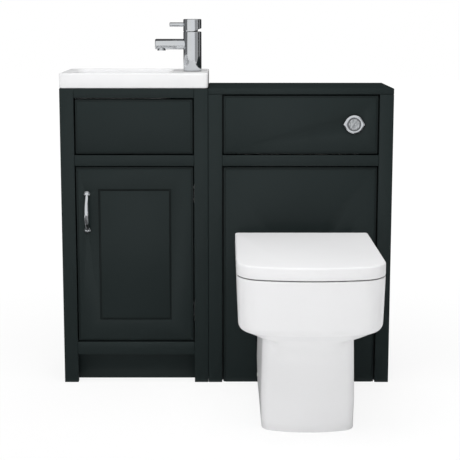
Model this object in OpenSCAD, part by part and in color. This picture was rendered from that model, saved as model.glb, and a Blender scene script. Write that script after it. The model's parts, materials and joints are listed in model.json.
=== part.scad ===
// Cloakroom vanity suite: a slim basin cabinet beside a toilet cabinet that hides the cistern, with a
// back-to-wall pan. Millimetres, Z up. The front looks to -Y and the wall is at +Y.

/* [Cabinets] */
// Height of both cabinets, from the floor to the underside of the basin
cabinet_h = 818; // [810:1:840]
// Depth of the cabinets, from the face frame to the wall
cabinet_d = 250; // [245:1:290]
// Width of the basin cabinet
vanity_w = 400; // [396:1:440]
// Width of the toilet cabinet
wc_w = 500; // [490:1:560]
// Gap left between the two cabinets where they stand side by side
unit_gap = 0.5; // [0.3:0.1:1]
// Thickness of the side, base and back boards
board_t = 18; // [16:0.5:19]
// Thickness of the face frame
frame_t = 18; // [16:0.5:20]
// Width of the upright stiles of the face frame
stile_w = 38; // [34:1:42]
// Height of the top rail over the drawer panel
top_rail_h = 26; // [20:1:30]
// Height of the rail between the upper and the lower panels
mid_rail_h = 30; // [24:1:36]
// Distance of that rail's lower edge below the cabinet's top
mid_rail_down = 210.5; // [206:0.5:218]
// Height of the bottom rail under the door
bottom_rail_h = 36; // [30:1:42]
// Height of the open toe space under the bottom rail
toe_h = 80; // [70:1:90]
// Distance of the plinth behind the face frame
plinth_back = 40; // [30:1:55]
// Thickness of the worktop over the toilet cabinet
worktop_t = 16; // [14:0.5:20]
// Height above the floor of the toilet cabinet's back board
back_low_z = 20; // [10:1:30]
// Height above the floor of the shelf's underside
shelf_z = 350; // [300:1:400]
// Thickness of the shelf
shelf_t = 16; // [14:0.5:19]
// Radius of the shelf pegs
peg_r = 2.5; // [2:0.1:3]
// Radius of the wall screw holes in the back boards
wall_hole_r = 3; // [2.5:0.1:3.5]
// Distance of the upper wall screws below the cabinet's top
wall_high_down = 123; // [113:1:133]
// Height above the floor of the lower wall screws
wall_low_z = 150; // [135:1:170]
// Distance between the wall screws of the basin cabinet
vanity_hole_pitch = 240; // [200:1:260]
// Distance between the wall screws of the toilet cabinet
wc_hole_pitch = 400; // [390:1:420]

/* [Panels and door] */
// Thickness of the door and the fixed front panels
panel_t = 18; // [17:0.5:20]
// Gap round each panel
panel_gap = 3; // [2.6:0.1:3.4]
// Distance of the panel faces behind the face frame
panel_back = 2; // [1:0.5:3]
// Distance of the lower toilet panel's face behind the face frame
pan_panel_back = 3.5; // [2:0.5:4]
// Width of the stepped border round each panel
border_w = 5.5; // [4:0.5:8]
// Depth of the stepped border
border_d = 2.5; // [1.5:0.5:4]
// Distance of the routed groove from the edges of the door
groove_in = 60; // [55:1:70]
// Width of the routed groove
groove_w = 5.5; // [4:0.5:8]
// Depth of the routed groove
groove_d = 3; // [2:0.5:4]
// Section of the square battens behind the fixed panels
batten = 20; // [16:1:24]
// Overlap of the battens behind the panels
batten_lap = 12; // [8:1:16]

/* [Door hinges and handle] */
// Height of the lower hinge above the door's lower edge
hinge_low_up = 76; // [61:1:111]
// Distance of the upper hinge below the door's upper edge
hinge_high_down = 79.5; // [64.5:0.5:104.5]
// Distance of the hinge pin from the door's edge
pivot_in = 20; // [19:0.5:21]
// Distance of the hinge pin behind the door's face
pivot_depth = 10.5; // [10:0.1:10.7]
// Distance of the cup's centre from the door's edge
cup_in = 22.5; // [22:0.5:23]
// Radius of the cup hole
cup_r = 17.5; // [17:0.1:18]
// Depth of the cup hole
cup_d = 12; // [11.8:0.1:12.4]
// Radius of the hinge pins
hinge_pin_r = 1.5; // [1.2:0.1:1.6]
// Distance of the handle from the side of the cabinet
handle_in = 70; // [64:1:76]
// Distance of the handle's middle below the door's upper edge
handle_down = 124; // [104:1:144]
// Distance between the handle's two fixings
handle_pitch = 100; // [90:1:128]
// Distance that the bow stands off the door
handle_out = 27; // [24:1:32]
// Radius of the bow's bar
handle_bar_r = 5.7; // [5:0.1:6.5]
// Radius of the round feet of the handle
handle_foot_r = 8.4; // [8:0.1:10]

/* [Basin] */
// Height of the basin slab over the cabinet
basin_h = 40.5; // [36:0.5:46]
// Length of the bowl's mouth from left to right
bowl_l = 272; // [260:1:276]
// Width of the rim at the left end
rim_left = 28; // [24:1:34]
// Width of the rim at the front
rim_front = 18; // [18:0.5:20]
// Width of the rim at the wall
rim_back = 22; // [20:1:30]
// Depth of the bowl below the rim
bowl_d = 100; // [90:1:104]
// Slope of the bowl's sides, as the inset from mouth to floor
bowl_taper = 26; // [25:1:30]
// Thickness of the bowl
bowl_wall = 9; // [8:0.5:9.5]
// Thickness of the tap deck
deck_t = 14; // [12:1:18]
// Radius of the tap hole
tap_hole_r = 17.5; // [16.5:0.5:18]
// Radius of the overflow hole
overflow_r = 10; // [8:1:12]

/* [Tap] */
// Distance of the tap's axis from the right end of the basin
tap_in = 44; // [40:1:50]
// Distance of the tap's axis behind the front of the basin
tap_back = 112; // [100:1:130]
// Radius of the tap's body
tap_r = 25; // [24:0.5:26]
// Height of the body over the deck
tap_body_h = 109; // [105:0.1:125]
// Height of the turning cap
cap_h = 34; // [30:0.5:36]
// Height of the spout's axis over the deck
spout_z = 74.5; // [70:0.5:80]
// Reach of the spout from the tap's axis
spout_reach = 103; // [95:1:120]
// Radius of the spout
spout_r = 14.5; // [13:0.5:15]
// Radius of the aerator
aerator_r = 11.3; // [10:0.1:12]
// Distance that the aerator stands below the spout
aerator_out = 3; // [2:0.5:5]
// Height of the lever over the cap's lower edge
lever_up = 19; // [17:0.5:22]
// Reach of the lever from the tap's axis
lever_reach = 63; // [60:1:80]
// Radius of the lever
lever_r = 5.8; // [5:0.1:6.5]
// Largest lift of the lever in degrees
lift_angle = 20; // [15:1:22]
// Radius of the two hose inlets
inlet_r = 5; // [4.5:0.1:5.2]

/* [Basin waste] */
// Radius of the waste hole in the bowl
waste_hole_r = 23; // [22:0.5:24]
// Radius of the waste tube
waste_r = 20.9; // [20:0.1:21.3]
// Radius of the plug
plug_r = 29; // [27:0.5:31]
// Travel of the plug
plug_travel = 9; // [7:0.5:10]
// Distance of the pipe to the wall below the cabinet's top
drain_down = 218; // [208:1:228]
// Radius of the waste pipe
drain_r = 16; // [15.5:0.1:16.5]

/* [Flush] */
// Distance of the flush button from the cistern's right side
button_in = 26; // [24:1:30]
// Distance of the flush button below the worktop
button_down = 81; // [79:1:87]
// Radius of the flush button
button_r = 15.3; // [14:0.1:16]
// Radius of the round bezel
bezel_r = 26; // [25:0.5:28]
// Width of the bezel from point to point
bezel_w = 61.5; // [58:0.5:66]
// Travel of the flush button
button_travel = 6; // [5:0.5:7]
// Width of the cistern
tank_w = 340; // [330:1:360]
// Depth of the cistern
tank_d = 135; // [130:1:140]
// Height above the floor of the cistern's underside
tank_z = 450; // [445:1:455]
// Distance of the cistern's upper edge below the worktop
tank_down = 27; // [24:1:30]
// Wall of the cistern
tank_wall = 4; // [3:0.5:5]
// Radius of the float's bore post
riser_r = 12; // [11:0.5:13]
// Travel of the float
float_travel = 60; // [40:1:65]
// Height of the flush pipe's entry to the pan above the floor
flush_z = 335; // [330:1:340]
// Radius of the flush pipe
flush_r = 20; // [19:0.5:21]

/* [Pan] */
// Distance that the pan stands out from the face frame
pan_reach = 500; // [480:1:520]
// Width of the pan at its rim
pan_w = 355; // [345:1:365]
// Height of the rim above the floor
rim_z = 404; // [400:1:410]
// Radius of the pan's front corners
corner_r = 70; // [60:1:80]
// Radius of the shallow front curve
front_r = 580; // [500:10:700]
// Thickness of the china
china_t = 12; // [10:0.5:14]
// Inset of the pan's sides below the rim
side_draft = 4; // [3:0.5:5]
// Height above the floor where the bowl starts to turn under
belly_z = 288; // [282:1:292]
// Radius of that turn
belly_r = 22; // [20:1:32]
// Slope of the underside in degrees
belly_slope = 27; // [22:1:32]
// Width of the pedestal
pedestal_w = 230; // [224:1:250]
// Distance of the foot's front behind the pan's front
foot_set = 109; // [100:1:118]
// Radius of the foot's front corners
foot_corner_r = 32; // [26:1:40]
// Radius of the pedestal's front curve
foot_front_r = 300; // [250:10:400]
// Width of the rim round the bowl's mouth
rim_w = 46; // [44:1:52]
// Height of the soil outlet's axis above the floor
soil_z = 180; // [178:1:182]
// Radius of the soil outlet
soil_r = 51; // [50:0.5:52]
// Radius of the soil pipe at the wall
soil_pipe_r = 55; // [54:0.5:56]

/* [Seat and lid] */
// Distance of the seat hinge's axis in front of the face frame
seat_axis_out = 75; // [72:1:80]
// Height of the seat hinge's axis over the rim
seat_axis_up = 16; // [15.5:0.5:17]
// Distance between the two seat hinges
seat_hinge_pitch = 155; // [145:1:165]
// Radius of the seat hinge's pins
seat_pin_r = 4; // [3.5:0.1:4.5]
// Distance of the lid's rear edge behind the hinge axis
lid_tail = 12; // [10:1:13]
// Height of the lid's top over the rim
lid_top = 33; // [31:0.5:36]
// Gap between the lid's skirt and the rim
lid_gap = 1.5; // [1:0.1:2]
// Wall of the lid
lid_wall = 5; // [4:0.5:6]
// Radius of the lid's top edge
lid_round = 4; // [3:0.5:5]
// Height of the seat's underside over the rim
seat_up = 6; // [5.5:0.5:7]
// Thickness of the seat
seat_t = 16; // [14:0.5:17]
// Gap between the seat and the lid's skirt
seat_gap = 3; // [2:0.5:4]
// Width of the seat's ring
seat_ring_w = 60; // [55:1:64]

/* [Clearances] */
// Radial gap of a pin that turns in its bore
run_fit = 0.05; // [0.03:0.01:0.08]
// Gap round a fastener or a piece that only passes through
pass_fit = 0.3; // [0.2:0.05:0.5]
// Gap at a seat where a loose or soft piece lies
seat_fit = 0.2; // [0.1:0.05:0.3]

/* [Hidden] */

paint = [0.17, 0.19, 0.19];
inside_board = [0.35, 0.36, 0.36];
china = [0.95, 0.95, 0.94];
plastic = [0.9, 0.9, 0.88];
chrome = [0.75, 0.76, 0.78];
brass = [0.72, 0.58, 0.3];
steel = [0.6, 0.6, 0.62];
rubber = [0.15, 0.15, 0.15];
pale_wood = [0.7, 0.58, 0.42];

$fn = 48;

total_w = vanity_w + unit_gap + wc_w;
left_x = -total_w / 2;
right_x = total_w / 2;
van_x1 = left_x + vanity_w;
wc_x0 = right_x - wc_w;
front_y = (pan_reach - cabinet_d) / 2;
back_y = front_y + cabinet_d;
carcass_y = front_y + frame_t;
back_board_y = back_y - board_t;

// The two cabinets' inner faces, and the openings between their stiles
van_in_l = left_x + board_t;
van_in_r = van_x1 - board_t;
van_open_l = left_x + stile_w;
van_open_r = van_x1 - stile_w;
wc_in_l = wc_x0 + board_t;
wc_in_r = right_x - board_t;
wc_open_l = wc_x0 + stile_w;
wc_open_r = right_x - stile_w;
wc_x = (wc_x0 + right_x) / 2;
mid_rail_z = cabinet_h - mid_rail_down;
mid_rail_top = mid_rail_z + mid_rail_h;
door_low = toe_h + bottom_rail_h;
top_rail_z = cabinet_h - top_rail_h;
wc_side_h = cabinet_h - worktop_t;
wall_high_z = cabinet_h - wall_high_down;
face_y = front_y + panel_back;
face_back = face_y + panel_t;
low_face_y = front_y + pan_panel_back;
low_back = low_face_y + panel_t;

// The door, its pivot and its cups
door_x0 = van_open_l + panel_gap;
door_x1 = van_open_r - panel_gap;
door_z0 = door_low + panel_gap;
door_z1 = mid_rail_z - panel_gap;
pivot_x = door_x1 - pivot_in;
pivot_y = face_y + pivot_depth;
cup_x = door_x1 - cup_in;
cup_floor = 1;
cup_shell_r = cup_r - pass_fit;
sweep_r = sqrt(pow(pivot_in, 2) + pow(pivot_depth, 2));
arm_t = 3;
arm_left = 16;
arm_y = sweep_r + 1.4;
plate_t = 2;
arm_screws = [arm_y + 12, arm_y + 28];
plate_screw_y = arm_y + 20;
plate_screw_z = 16;
packer_x = van_open_r - pivot_x;
arm_plate_l = 36;
packer_l = arm_y + arm_plate_l + 8 - (carcass_y - pivot_y);
hinge_heights = [door_z0 + hinge_low_up, door_z1 - hinge_high_down];
handle_z = door_z1 - handle_down;
handle_x = left_x + handle_in;
shelf_y0 = carcass_y + 17;
shelf_y1 = back_board_y - 12;
peg_l = 9;
peg_ys = [shelf_y0 + 30, shelf_y1 - 30];

// The bolts that hold the cabinets together
bolt_r = 3;
bolt_head_r = 7.5;
bolt_head = 3;
bolt_low_z = 300;
bolt_front_z = cabinet_h - 118;
bolt_back_z = cabinet_h - 218;
bolt_front_y = carcass_y + 37;
bolt_back_y = back_board_y - 27;
bolt_spots = [[bolt_front_y, bolt_low_z], [bolt_front_y, bolt_front_z], [bolt_back_y, bolt_low_z],
    [bolt_back_y, bolt_back_z]];

// The basin's bowl, centred on its waste
basin_top = cabinet_h + basin_h;
bowl_x = left_x + rim_left + bowl_l / 2;
bowl_y0 = front_y + rim_front;
bowl_y1 = back_y - rim_back;
bowl_y = (bowl_y0 + bowl_y1) / 2;
bowl_floor = basin_top - bowl_d;
bowl_under = bowl_floor - bowl_wall;
bowl_corner = 34;
slab_round = 3;
overflow_z = basin_top - 32;
overflow_d = 8;
overflow_y = bowl_y1 - bowl_taper * (basin_top - overflow_z) / bowl_d;

// The tap, on its own axis
tap_x = van_x1 - tap_in;
tap_y = front_y + tap_back;
tap_top = basin_top + tap_body_h;
cap_z = tap_top + seat_fit;
lift_z = cap_z + 6;
cap_wall = 8.5;
cap_room_r = tap_r - cap_wall;
cap_room_top = 9;
spindle_r = 5;
spindle_head_r = cap_room_r - 1;
lift_pin_r = 2;
cartridge_r = 17.5;
cartridge_well = 50;
inlet_d = 14;
passage_r = 4.5;
stud_r = 4;
under_deck = basin_top - deck_t;

// The waste and its trap
flange_t = 2.5;
flange_r = 31.5;
tail_z = bowl_floor - 68;
stem_r = 4;
lock_nut_r = 28;
lock_nut_h = 13;
bottle_r = 32;
drain_z = cabinet_h - drain_down;
bottle_top = drain_z + 30;
bottle_low = drain_z - 60;
nut_end_y = bowl_y + bottle_r + 30;

// The flush works
bezel_out = 5;
bezel_bore_r = 18;
barrel_r = 21.5;
barrel_back = face_back + 14;
barrel_floor = 3;
rod_r = 5;
tank_x0 = wc_x - tank_w / 2;
tank_x1 = wc_x + tank_w / 2;
button_x = tank_x1 - button_in;
button_z = wc_side_h - button_down;
tank_y1 = back_board_y;
tank_y0 = tank_y1 - tank_d;
tank_floor = tank_z + tank_wall;
tank_top = wc_side_h - tank_down;
tank_screw_z = tank_top - 55;
crank_z = tank_top - 27;
crank_y = tank_y0 + 28;
crank_r = 4;
crank_drop = crank_z - button_z;
crank_arm = 6;
crank_tail = 60;
crank_end = 14;
valve_x = wc_x;
valve_y = crank_y + 45;
crank_reach = 55;
valve_tube_r = 12;
valve_r = 33;
valve_top = tank_floor + 106;
valve_bore_r = 17;
spigot_r = 21;
spigot_low = tank_z - 25;
seal_r = 26;
collar_z = crank_z + crank_arm / 2 + seat_fit;
fill_x = tank_x0 + 60;
fill_y = valve_y;
fill_top = tank_top - 60;
fill_head = 26;
float_h = 60;
float_spare = 15;
float_low = fill_top - fill_head - float_spare - float_travel - float_h;
float_r = 28;
elbow_r = 35;
seal_hole_r = 27;

// The pan and its plans
pan_back = low_face_y;
pan_front = front_y - pan_reach;
foot_front = pan_front + foot_set;
bowl_mouth_front = pan_front + rim_w;
bowl_mouth_back = front_y - 135;
mouth_y = (bowl_mouth_front + bowl_mouth_back) / 2;
mouth_l = bowl_mouth_back - bowl_mouth_front;
mouth_w = pan_w - 2 * rim_w;
spigot_l = 45;
belly_in = foot_set + 8;
belly_turn = 90 - belly_slope;
belly_arc = [for (a = [0:0.2:1]) belly_r * [1 - cos(belly_turn * a), sin(belly_turn * a)]];
belly_end = belly_arc[len(belly_arc) - 1];
belly_path = concat(belly_arc, [[belly_in, belly_end[1] + (belly_in - belly_end[0]) * tan(belly_slope)]]);
sump_half_w = 42;
sump_half_l = 52;
sump_out = 253;
sump_y = pan_back - sump_out;
sump_z = soil_z - 100;
trap_wall = 8;
trap_bore_r = 27;
trap_r = 60;
trap_in_z = soil_z - 68;
trap_y1 = sump_y + 62;
trap_y2 = trap_y1 + trap_r * sin(60);
trap_z2 = trap_in_z + trap_r * (1 - cos(60));
trap_rise = 54;
trap_y3 = trap_y2 + trap_rise * cos(60);
trap_z3 = trap_z2 + trap_rise * sin(60);
trap_y4 = trap_y3 + trap_r * (sin(60) + sin(45));
trap_z4 = trap_z3 + trap_r * (cos(45) - cos(60));
trap_fall = 40;
axis_y = front_y - seat_axis_out;
axis_z = rim_z + seat_axis_up;
hinge_xs = [wc_x - seat_hinge_pitch / 2, wc_x + seat_hinge_pitch / 2];
post_w = 15;
post_r = 7.5;
hinge_stud_l = 30;
ear_w = 8;
ear_r = 8;
ear_gap = 0.5;
skirt_z = rim_z + lid_gap;
lid_z = rim_z + lid_top;
lid_back_y = axis_y + lid_tail;
lid_ceiling = lid_z - lid_wall;
seat_z0 = rim_z + seat_up;
seat_z1 = seat_z0 + seat_t;
seat_back_y = axis_y - ear_r - 3;
seat_in = lid_wall + seat_gap;
seat_mouth_w = pan_w - 2 * (seat_in + seat_ring_w);
seat_mouth_front = pan_front + seat_in + seat_ring_w;
seat_mouth_back = seat_back_y - seat_ring_w;
buffer_r = 8;
buffer_in = 28;
buffer_back_set = 45;
seat_buffer_set = 130;
lid_buffer_set = 170;
bracket_z = 45;
bracket_y = front_y - 70;

// A box between two corners
module board(x0, x1, y0, y1, z0, z1) {
    translate([x0, y0, z0]) cube([x1 - x0, y1 - y0, z1 - z0]);
}

// A round bar along X, Y or Z from a start point
module bar_x(x, y, z, l, r) {
    translate([x, y, z]) rotate([0, 90, 0]) cylinder(h = l, r = r);
}
module bar_y(x, y, z, l, r) {
    translate([x, y, z]) rotate([-90, 0, 0]) cylinder(h = l, r = r);
}
module bar_z(x, y, z, l, r) {
    translate([x, y, z]) cylinder(h = l, r = r);
}

// A front panel with its stepped border, whose lower border can be left out
module stepped_panel(x0, x1, z0, z1, y0, low_border) {
    board(x0, x1, y0 + border_d, y0 + panel_t, z0, z1);
    board(x0 + border_w, x1 - border_w, y0, y0 + border_d, z0 + low_border, z1 - border_w);
}

// Points on an arc, from one angle to another
function arc(cx, cy, r, a0, a1, n) =
    [for (i = [0:n]) let (a = a0 + (a1 - a0) * i / n) [cx + r * cos(a), cy + r * sin(a)]];

// Outline with two straight sides, two round front corners and a shallow front curve
function d_plan(half_w, y_back, y_front, rc, rf) =
    let (
        cx = half_w - rc,
        cy = y_front + rf - sqrt(pow(rf - rc, 2) - pow(cx, 2)),
        turn = atan2(cy - (y_front + rf), cx)
    )
    concat(
        [[half_w, y_back]],
        arc(cx, cy, rc, 0, turn, 10),
        [for (i = [1:7]) let (a = turn + (-180 - 2 * turn) * i / 8) [rf * cos(a), y_front + rf + rf * sin(a)]],
        arc(-cx, cy, rc, -180 - turn, -180, 10),
        [[-half_w, y_back]]
    );

// Rounded egg outline used for the mouths of the bowl and the seat
function egg(half_w, half_l, n) = [
    for (i = [0:47]) let (a = i * 7.5, c = cos(a), s = sin(a))
        [half_w * sign(c) * pow(abs(c), 2 / n), half_l * sign(s) * pow(abs(s), 2 / n)]
];

// A thin slice of an outline at one height, for lofting with hull
module slice(points, z) {
    translate([wc_x, 0, z]) linear_extrude(height = 0.01) polygon(points);
}
module egg_slice(half_w, half_l, y, z) {
    translate([wc_x, y, z]) linear_extrude(height = 0.01) polygon(egg(half_w, half_l, 2.6));
}

// Cabinets

module side_panels() {
    color(paint) difference() {
        union() {
            board(left_x, van_in_l, carcass_y, back_y, 0, cabinet_h);
            board(van_in_r, van_x1, carcass_y, back_y, 0, cabinet_h);
            board(wc_x0, wc_in_l, carcass_y, back_y, 0, wc_side_h);
            board(wc_in_r, right_x, carcass_y, back_y, 0, wc_side_h);
        }
        for (spot = bolt_spots) {
            bar_x(van_in_r - 1, spot[0], spot[1], 2 * board_t + unit_gap + 2, bolt_r + pass_fit);
        }
        for (y = peg_ys) {
            bar_x(van_in_l - peg_l, y, shelf_z - peg_r, peg_l + 1, peg_r + seat_fit / 2);
            bar_x(van_in_r - 1, y, shelf_z - peg_r, peg_l + 1, peg_r + seat_fit / 2);
        }
    }
}

module stiles() {
    color(paint) {
        board(left_x, van_open_l, front_y, carcass_y, 0, cabinet_h);
        board(van_open_r, van_x1, front_y, carcass_y, 0, cabinet_h);
        board(wc_x0, wc_open_l, front_y, carcass_y, 0, wc_side_h);
        board(wc_open_r, right_x, front_y, carcass_y, 0, wc_side_h);
    }
}

module face_rails() {
    color(paint) {
        board(van_open_l, van_open_r, front_y, carcass_y, top_rail_z, cabinet_h);
        board(van_open_l, van_open_r, front_y, carcass_y, mid_rail_z, mid_rail_top);
        board(van_open_l, van_open_r, front_y, carcass_y, toe_h, door_low);
        board(wc_open_l, wc_open_r, front_y, carcass_y, mid_rail_z, mid_rail_top);
    }
}

module vanity_base() {
    color(inside_board) board(van_in_l, van_in_r, carcass_y, back_board_y, door_low - board_t, door_low);
}

module plinth() {
    plinth_y = front_y + plinth_back;
    color(paint) board(van_in_l, van_in_r, plinth_y, plinth_y + board_t, 0, door_low - board_t);
}

// A board behind each cabinet, with its screw holes and a way through for its waste pipe
module back_board(x0, x1, z0, z1, pitch, pipe_x, pipe_z, hole_r) {
    mid_x = (x0 + x1) / 2;
    difference() {
        board(x0, x1, back_board_y, back_y, z0, z1);
        for (side = [-1, 1]) for (z = [wall_low_z, wall_high_z]) {
            bar_y(mid_x + side * pitch / 2, back_board_y - 1, z, board_t + 2, wall_hole_r);
        }
        bar_y(pipe_x, back_board_y - 1, pipe_z, board_t + 2, hole_r);
    }
}

module back_boards() {
    color(inside_board) {
        back_board(van_in_l, van_in_r, door_low, cabinet_h, vanity_hole_pitch, bowl_x, drain_z, drain_r + 4);
        back_board(wc_in_l, wc_in_r, back_low_z, wc_side_h, wc_hole_pitch, wc_x, soil_z, soil_pipe_r + 3);
    }
}

module shelf() {
    color(inside_board)
    board(van_in_l + seat_fit, van_in_r - seat_fit, shelf_y0, shelf_y1, shelf_z + seat_fit, shelf_z + shelf_t);
}

module shelf_pegs() {
    color(steel) for (y = peg_ys) {
        bar_x(van_in_l - peg_l + seat_fit, y, shelf_z - peg_r, 2 * peg_l - seat_fit, peg_r);
        bar_x(van_in_r - peg_l, y, shelf_z - peg_r, 2 * peg_l - seat_fit, peg_r);
    }
}

module drawer_panel() {
    color(paint) stepped_panel(van_open_l + panel_gap, van_open_r - panel_gap, mid_rail_top + panel_gap,
        top_rail_z - panel_gap, face_y, border_w);
}

module batten_pair(in_l, in_r, open_l, open_r, y, z0, z1) {
    board(in_l, open_l + batten_lap, y, y + batten, z0, z1);
    board(open_r - batten_lap, in_r, y, y + batten, z0, z1);
}

module panel_battens() {
    color(inside_board) {
        batten_pair(van_in_l, van_in_r, van_open_l, van_open_r, face_back, mid_rail_top + 8, bowl_under - 8);
        batten_pair(wc_in_l, wc_in_r, wc_open_l, wc_open_r, face_back, mid_rail_top + 8, wc_side_h);
        batten_pair(wc_in_l, wc_in_r, wc_open_l, wc_open_r, low_back, 0, mid_rail_z - 8);
    }
}

module worktop() {
    color(paint) board(wc_x0, right_x, front_y, back_y, wc_side_h, cabinet_h);
}

module upper_panel() {
    color(paint) difference() {
        stepped_panel(wc_open_l + panel_gap, wc_open_r - panel_gap, mid_rail_top + panel_gap,
            wc_side_h - panel_gap, face_y, border_w);
        bar_y(button_x, face_y - 1, button_z, panel_t + 2, barrel_r + pass_fit);
    }
}

module lower_panel() {
    color(paint) difference() {
        stepped_panel(wc_open_l + panel_gap, wc_open_r - panel_gap, 0, mid_rail_z - panel_gap, low_face_y, 0);
        bar_y(wc_x, low_face_y - 1, flush_z, panel_t + 2, flush_r + 8);
        bar_y(wc_x, low_face_y - 1, soil_z, panel_t + 2, soil_r + 7);
    }
}

module unit_bolts() {
    inner = 2 * board_t + unit_gap;
    color(steel) for (spot = bolt_spots) {
        bar_x(van_in_r - bolt_head, spot[0], spot[1], inner + 2 * bolt_head, bolt_r);
        bar_x(van_in_r - bolt_head, spot[0], spot[1], bolt_head, bolt_head_r);
        bar_x(wc_in_l, spot[0], spot[1], bolt_head, bolt_head_r);
    }
}

// Door

module door() {
    gx0 = door_x0 + groove_in;
    gx1 = door_x1 - groove_in;
    gz0 = door_z0 + groove_in;
    gz1 = door_z1 - groove_in;
    color(paint) difference() {
        stepped_panel(door_x0, door_x1, door_z0, door_z1, face_y, border_w);
        difference() {
            board(gx0, gx1, face_y - 1, face_y + groove_d, gz0, gz1);
            board(gx0 + groove_w, gx1 - groove_w, face_y - 2, face_y + groove_d + 1, gz0 + groove_w,
                gz1 - groove_w);
        }
        for (z = hinge_heights) {
            bar_y(cup_x, face_back - cup_d, z, cup_d + 1, cup_r);
        }
        for (side = [-1, 1]) {
            bar_y(handle_x, face_y - 1, handle_z + side * handle_pitch / 2, panel_t + 2, 2 + pass_fit);
        }
    }
}

// The bow is one arc of a ring whose ends sink into the two round feet
module door_handle() {
    half = handle_pitch / 2;
    rise = handle_out - handle_bar_r;
    ring_r = (pow(half, 2) + pow(rise, 2)) / (2 * rise);
    reach = asin(half / ring_r) + 4;
    color(chrome) difference() {
        union() {
            translate([handle_x, face_y - rise + ring_r, handle_z]) rotate([0, 90, 0])
            rotate([0, 0, -90 - reach])
            rotate_extrude(angle = 2 * reach) translate([ring_r, 0]) circle(r = handle_bar_r);
            for (side = [-1, 1]) {
                bar_y(handle_x, face_y - 4, handle_z + side * half, 4, handle_foot_r);
            }
        }
        board(handle_x - 20, handle_x + 20, face_y, face_y + 40, handle_z - half - 30, handle_z + half + 30);
        for (side = [-1, 1]) {
            bar_y(handle_x, face_y - 4, handle_z + side * half, 5, 2 + seat_fit / 2);
        }
    }
}

module handle_screws() {
    color(steel) for (side = [-1, 1]) {
        bar_y(handle_x, face_y - 3.5, handle_z + side * handle_pitch / 2, panel_t + 3.5, 2);
        bar_y(handle_x, face_back, handle_z + side * handle_pitch / 2, 2.5, 4);
    }
}

module hinge_cups() {
    cup_y = face_back - cup_d + seat_fit;
    color(steel) for (z = hinge_heights) difference() {
        union() {
            bar_y(cup_x, cup_y, z, cup_d - seat_fit, cup_shell_r);
            bar_y(cup_x, face_back, z, 1.2, cup_r + 2.5);
        }
        bar_y(cup_x, cup_y + cup_floor, z, cup_d + 3, cup_shell_r - cup_floor);
        bar_z(pivot_x, pivot_y, z - cup_r - 2, 2 * cup_r + 4, hinge_pin_r + seat_fit / 4);
    }
}

module hinge_pins() {
    half = sqrt(pow(cup_shell_r, 2) - pow(cup_in - pivot_in, 2)) - 0.2;
    color(steel) for (z = hinge_heights) {
        bar_z(pivot_x, pivot_y, z - half, 2 * half, hinge_pin_r);
    }
}

// Each arm leaves the cup to the left and goes round the sweep of the door's edge to its plate
module hinge_arms() {
    eye_r = 3.2;
    half = 6;
    color(steel) for (z = hinge_heights) translate([pivot_x, pivot_y, z]) difference() {
        union() {
            bar_z(0, 0, -half, 2 * half, eye_r);
            board(-arm_left, 0, eye_r - 2.6, eye_r, -half, half);
            board(-arm_left, -arm_left + arm_t, eye_r - 2.6, arm_y + arm_t, -half, half);
            board(-arm_left, packer_x - plate_t, arm_y, arm_y + arm_t, -half, half);
            board(packer_x - plate_t - arm_t, packer_x - plate_t, arm_y, arm_y + arm_plate_l, -half, half);
        }
        bar_z(0, 0, -half - 1, 2 * half + 2, hinge_pin_r + run_fit);
        for (y = arm_screws) {
            bar_x(packer_x - plate_t - arm_t - 1, y, 0, arm_t + 2, 2 + seat_fit / 2);
        }
    }
}

module hinge_plates() {
    color(steel) for (z = hinge_heights) translate([pivot_x, pivot_y, z]) difference() {
        board(packer_x - plate_t, packer_x, arm_y + 4, arm_y + arm_plate_l, -24, 24);
        for (y = arm_screws) {
            bar_x(packer_x - plate_t - 1, y, 0, plate_t + 2, 2 + seat_fit / 2);
        }
        for (side = [-1, 1]) {
            bar_x(packer_x - plate_t - 1, plate_screw_y, side * plate_screw_z, plate_t + 2, 2 + seat_fit / 2);
        }
    }
}

module hinge_packers() {
    color(pale_wood) for (z = hinge_heights) difference() {
        board(van_open_r, van_in_r, carcass_y, carcass_y + packer_l, z - 35, z + 35);
        for (y = arm_screws) {
            bar_x(van_open_r - 1, pivot_y + y, z, 15, 2 + seat_fit / 2);
        }
        for (side = [-1, 1]) {
            bar_x(van_open_r - 1, pivot_y + plate_screw_y, z + side * plate_screw_z, 15, 2 + seat_fit / 2);
        }
    }
}

module hinge_screws() {
    color(steel) for (z = hinge_heights) {
        for (y = arm_screws) {
            bar_x(van_open_r - plate_t - arm_t - 2, pivot_y + y, z, 16, 2);
            bar_x(van_open_r - plate_t - arm_t - 2, pivot_y + y, z, 2, 4);
        }
        for (side = [-1, 1]) {
            bar_x(van_open_r - plate_t - 2, pivot_y + plate_screw_y, z + side * plate_screw_z, 14, 2);
            bar_x(van_open_r - plate_t - 2, pivot_y + plate_screw_y, z + side * plate_screw_z, 2, 4);
        }
    }
}

module door_stops() {
    color(plastic) for (z = [door_z0 + 20, door_z1 - 40]) {
        board(van_in_l, door_x0 + batten_lap, face_back + seat_fit, face_back + batten, z, z + 20);
    }
}

// Basin and waste

module rounded_block(x0, x1, y0, y1, r, z0, h) {
    translate([x0 + r, y0 + r, z0]) cube([x1 - x0 - 2 * r, y1 - y0 - 2 * r, h]);
    for (x = [x0 + r, x1 - r]) for (y = [y0 + r, y1 - r]) {
        bar_z(x, y, z0, h, r);
    }
}

// One level of the bowl, grown or shrunk evenly all round
module bowl_level(grow, z) {
    rounded_block(bowl_x - bowl_l / 2 - grow, bowl_x + bowl_l / 2 + grow, bowl_y0 - grow, bowl_y1 + grow,
        bowl_corner + grow / 2, z, 0.01);
}

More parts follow.
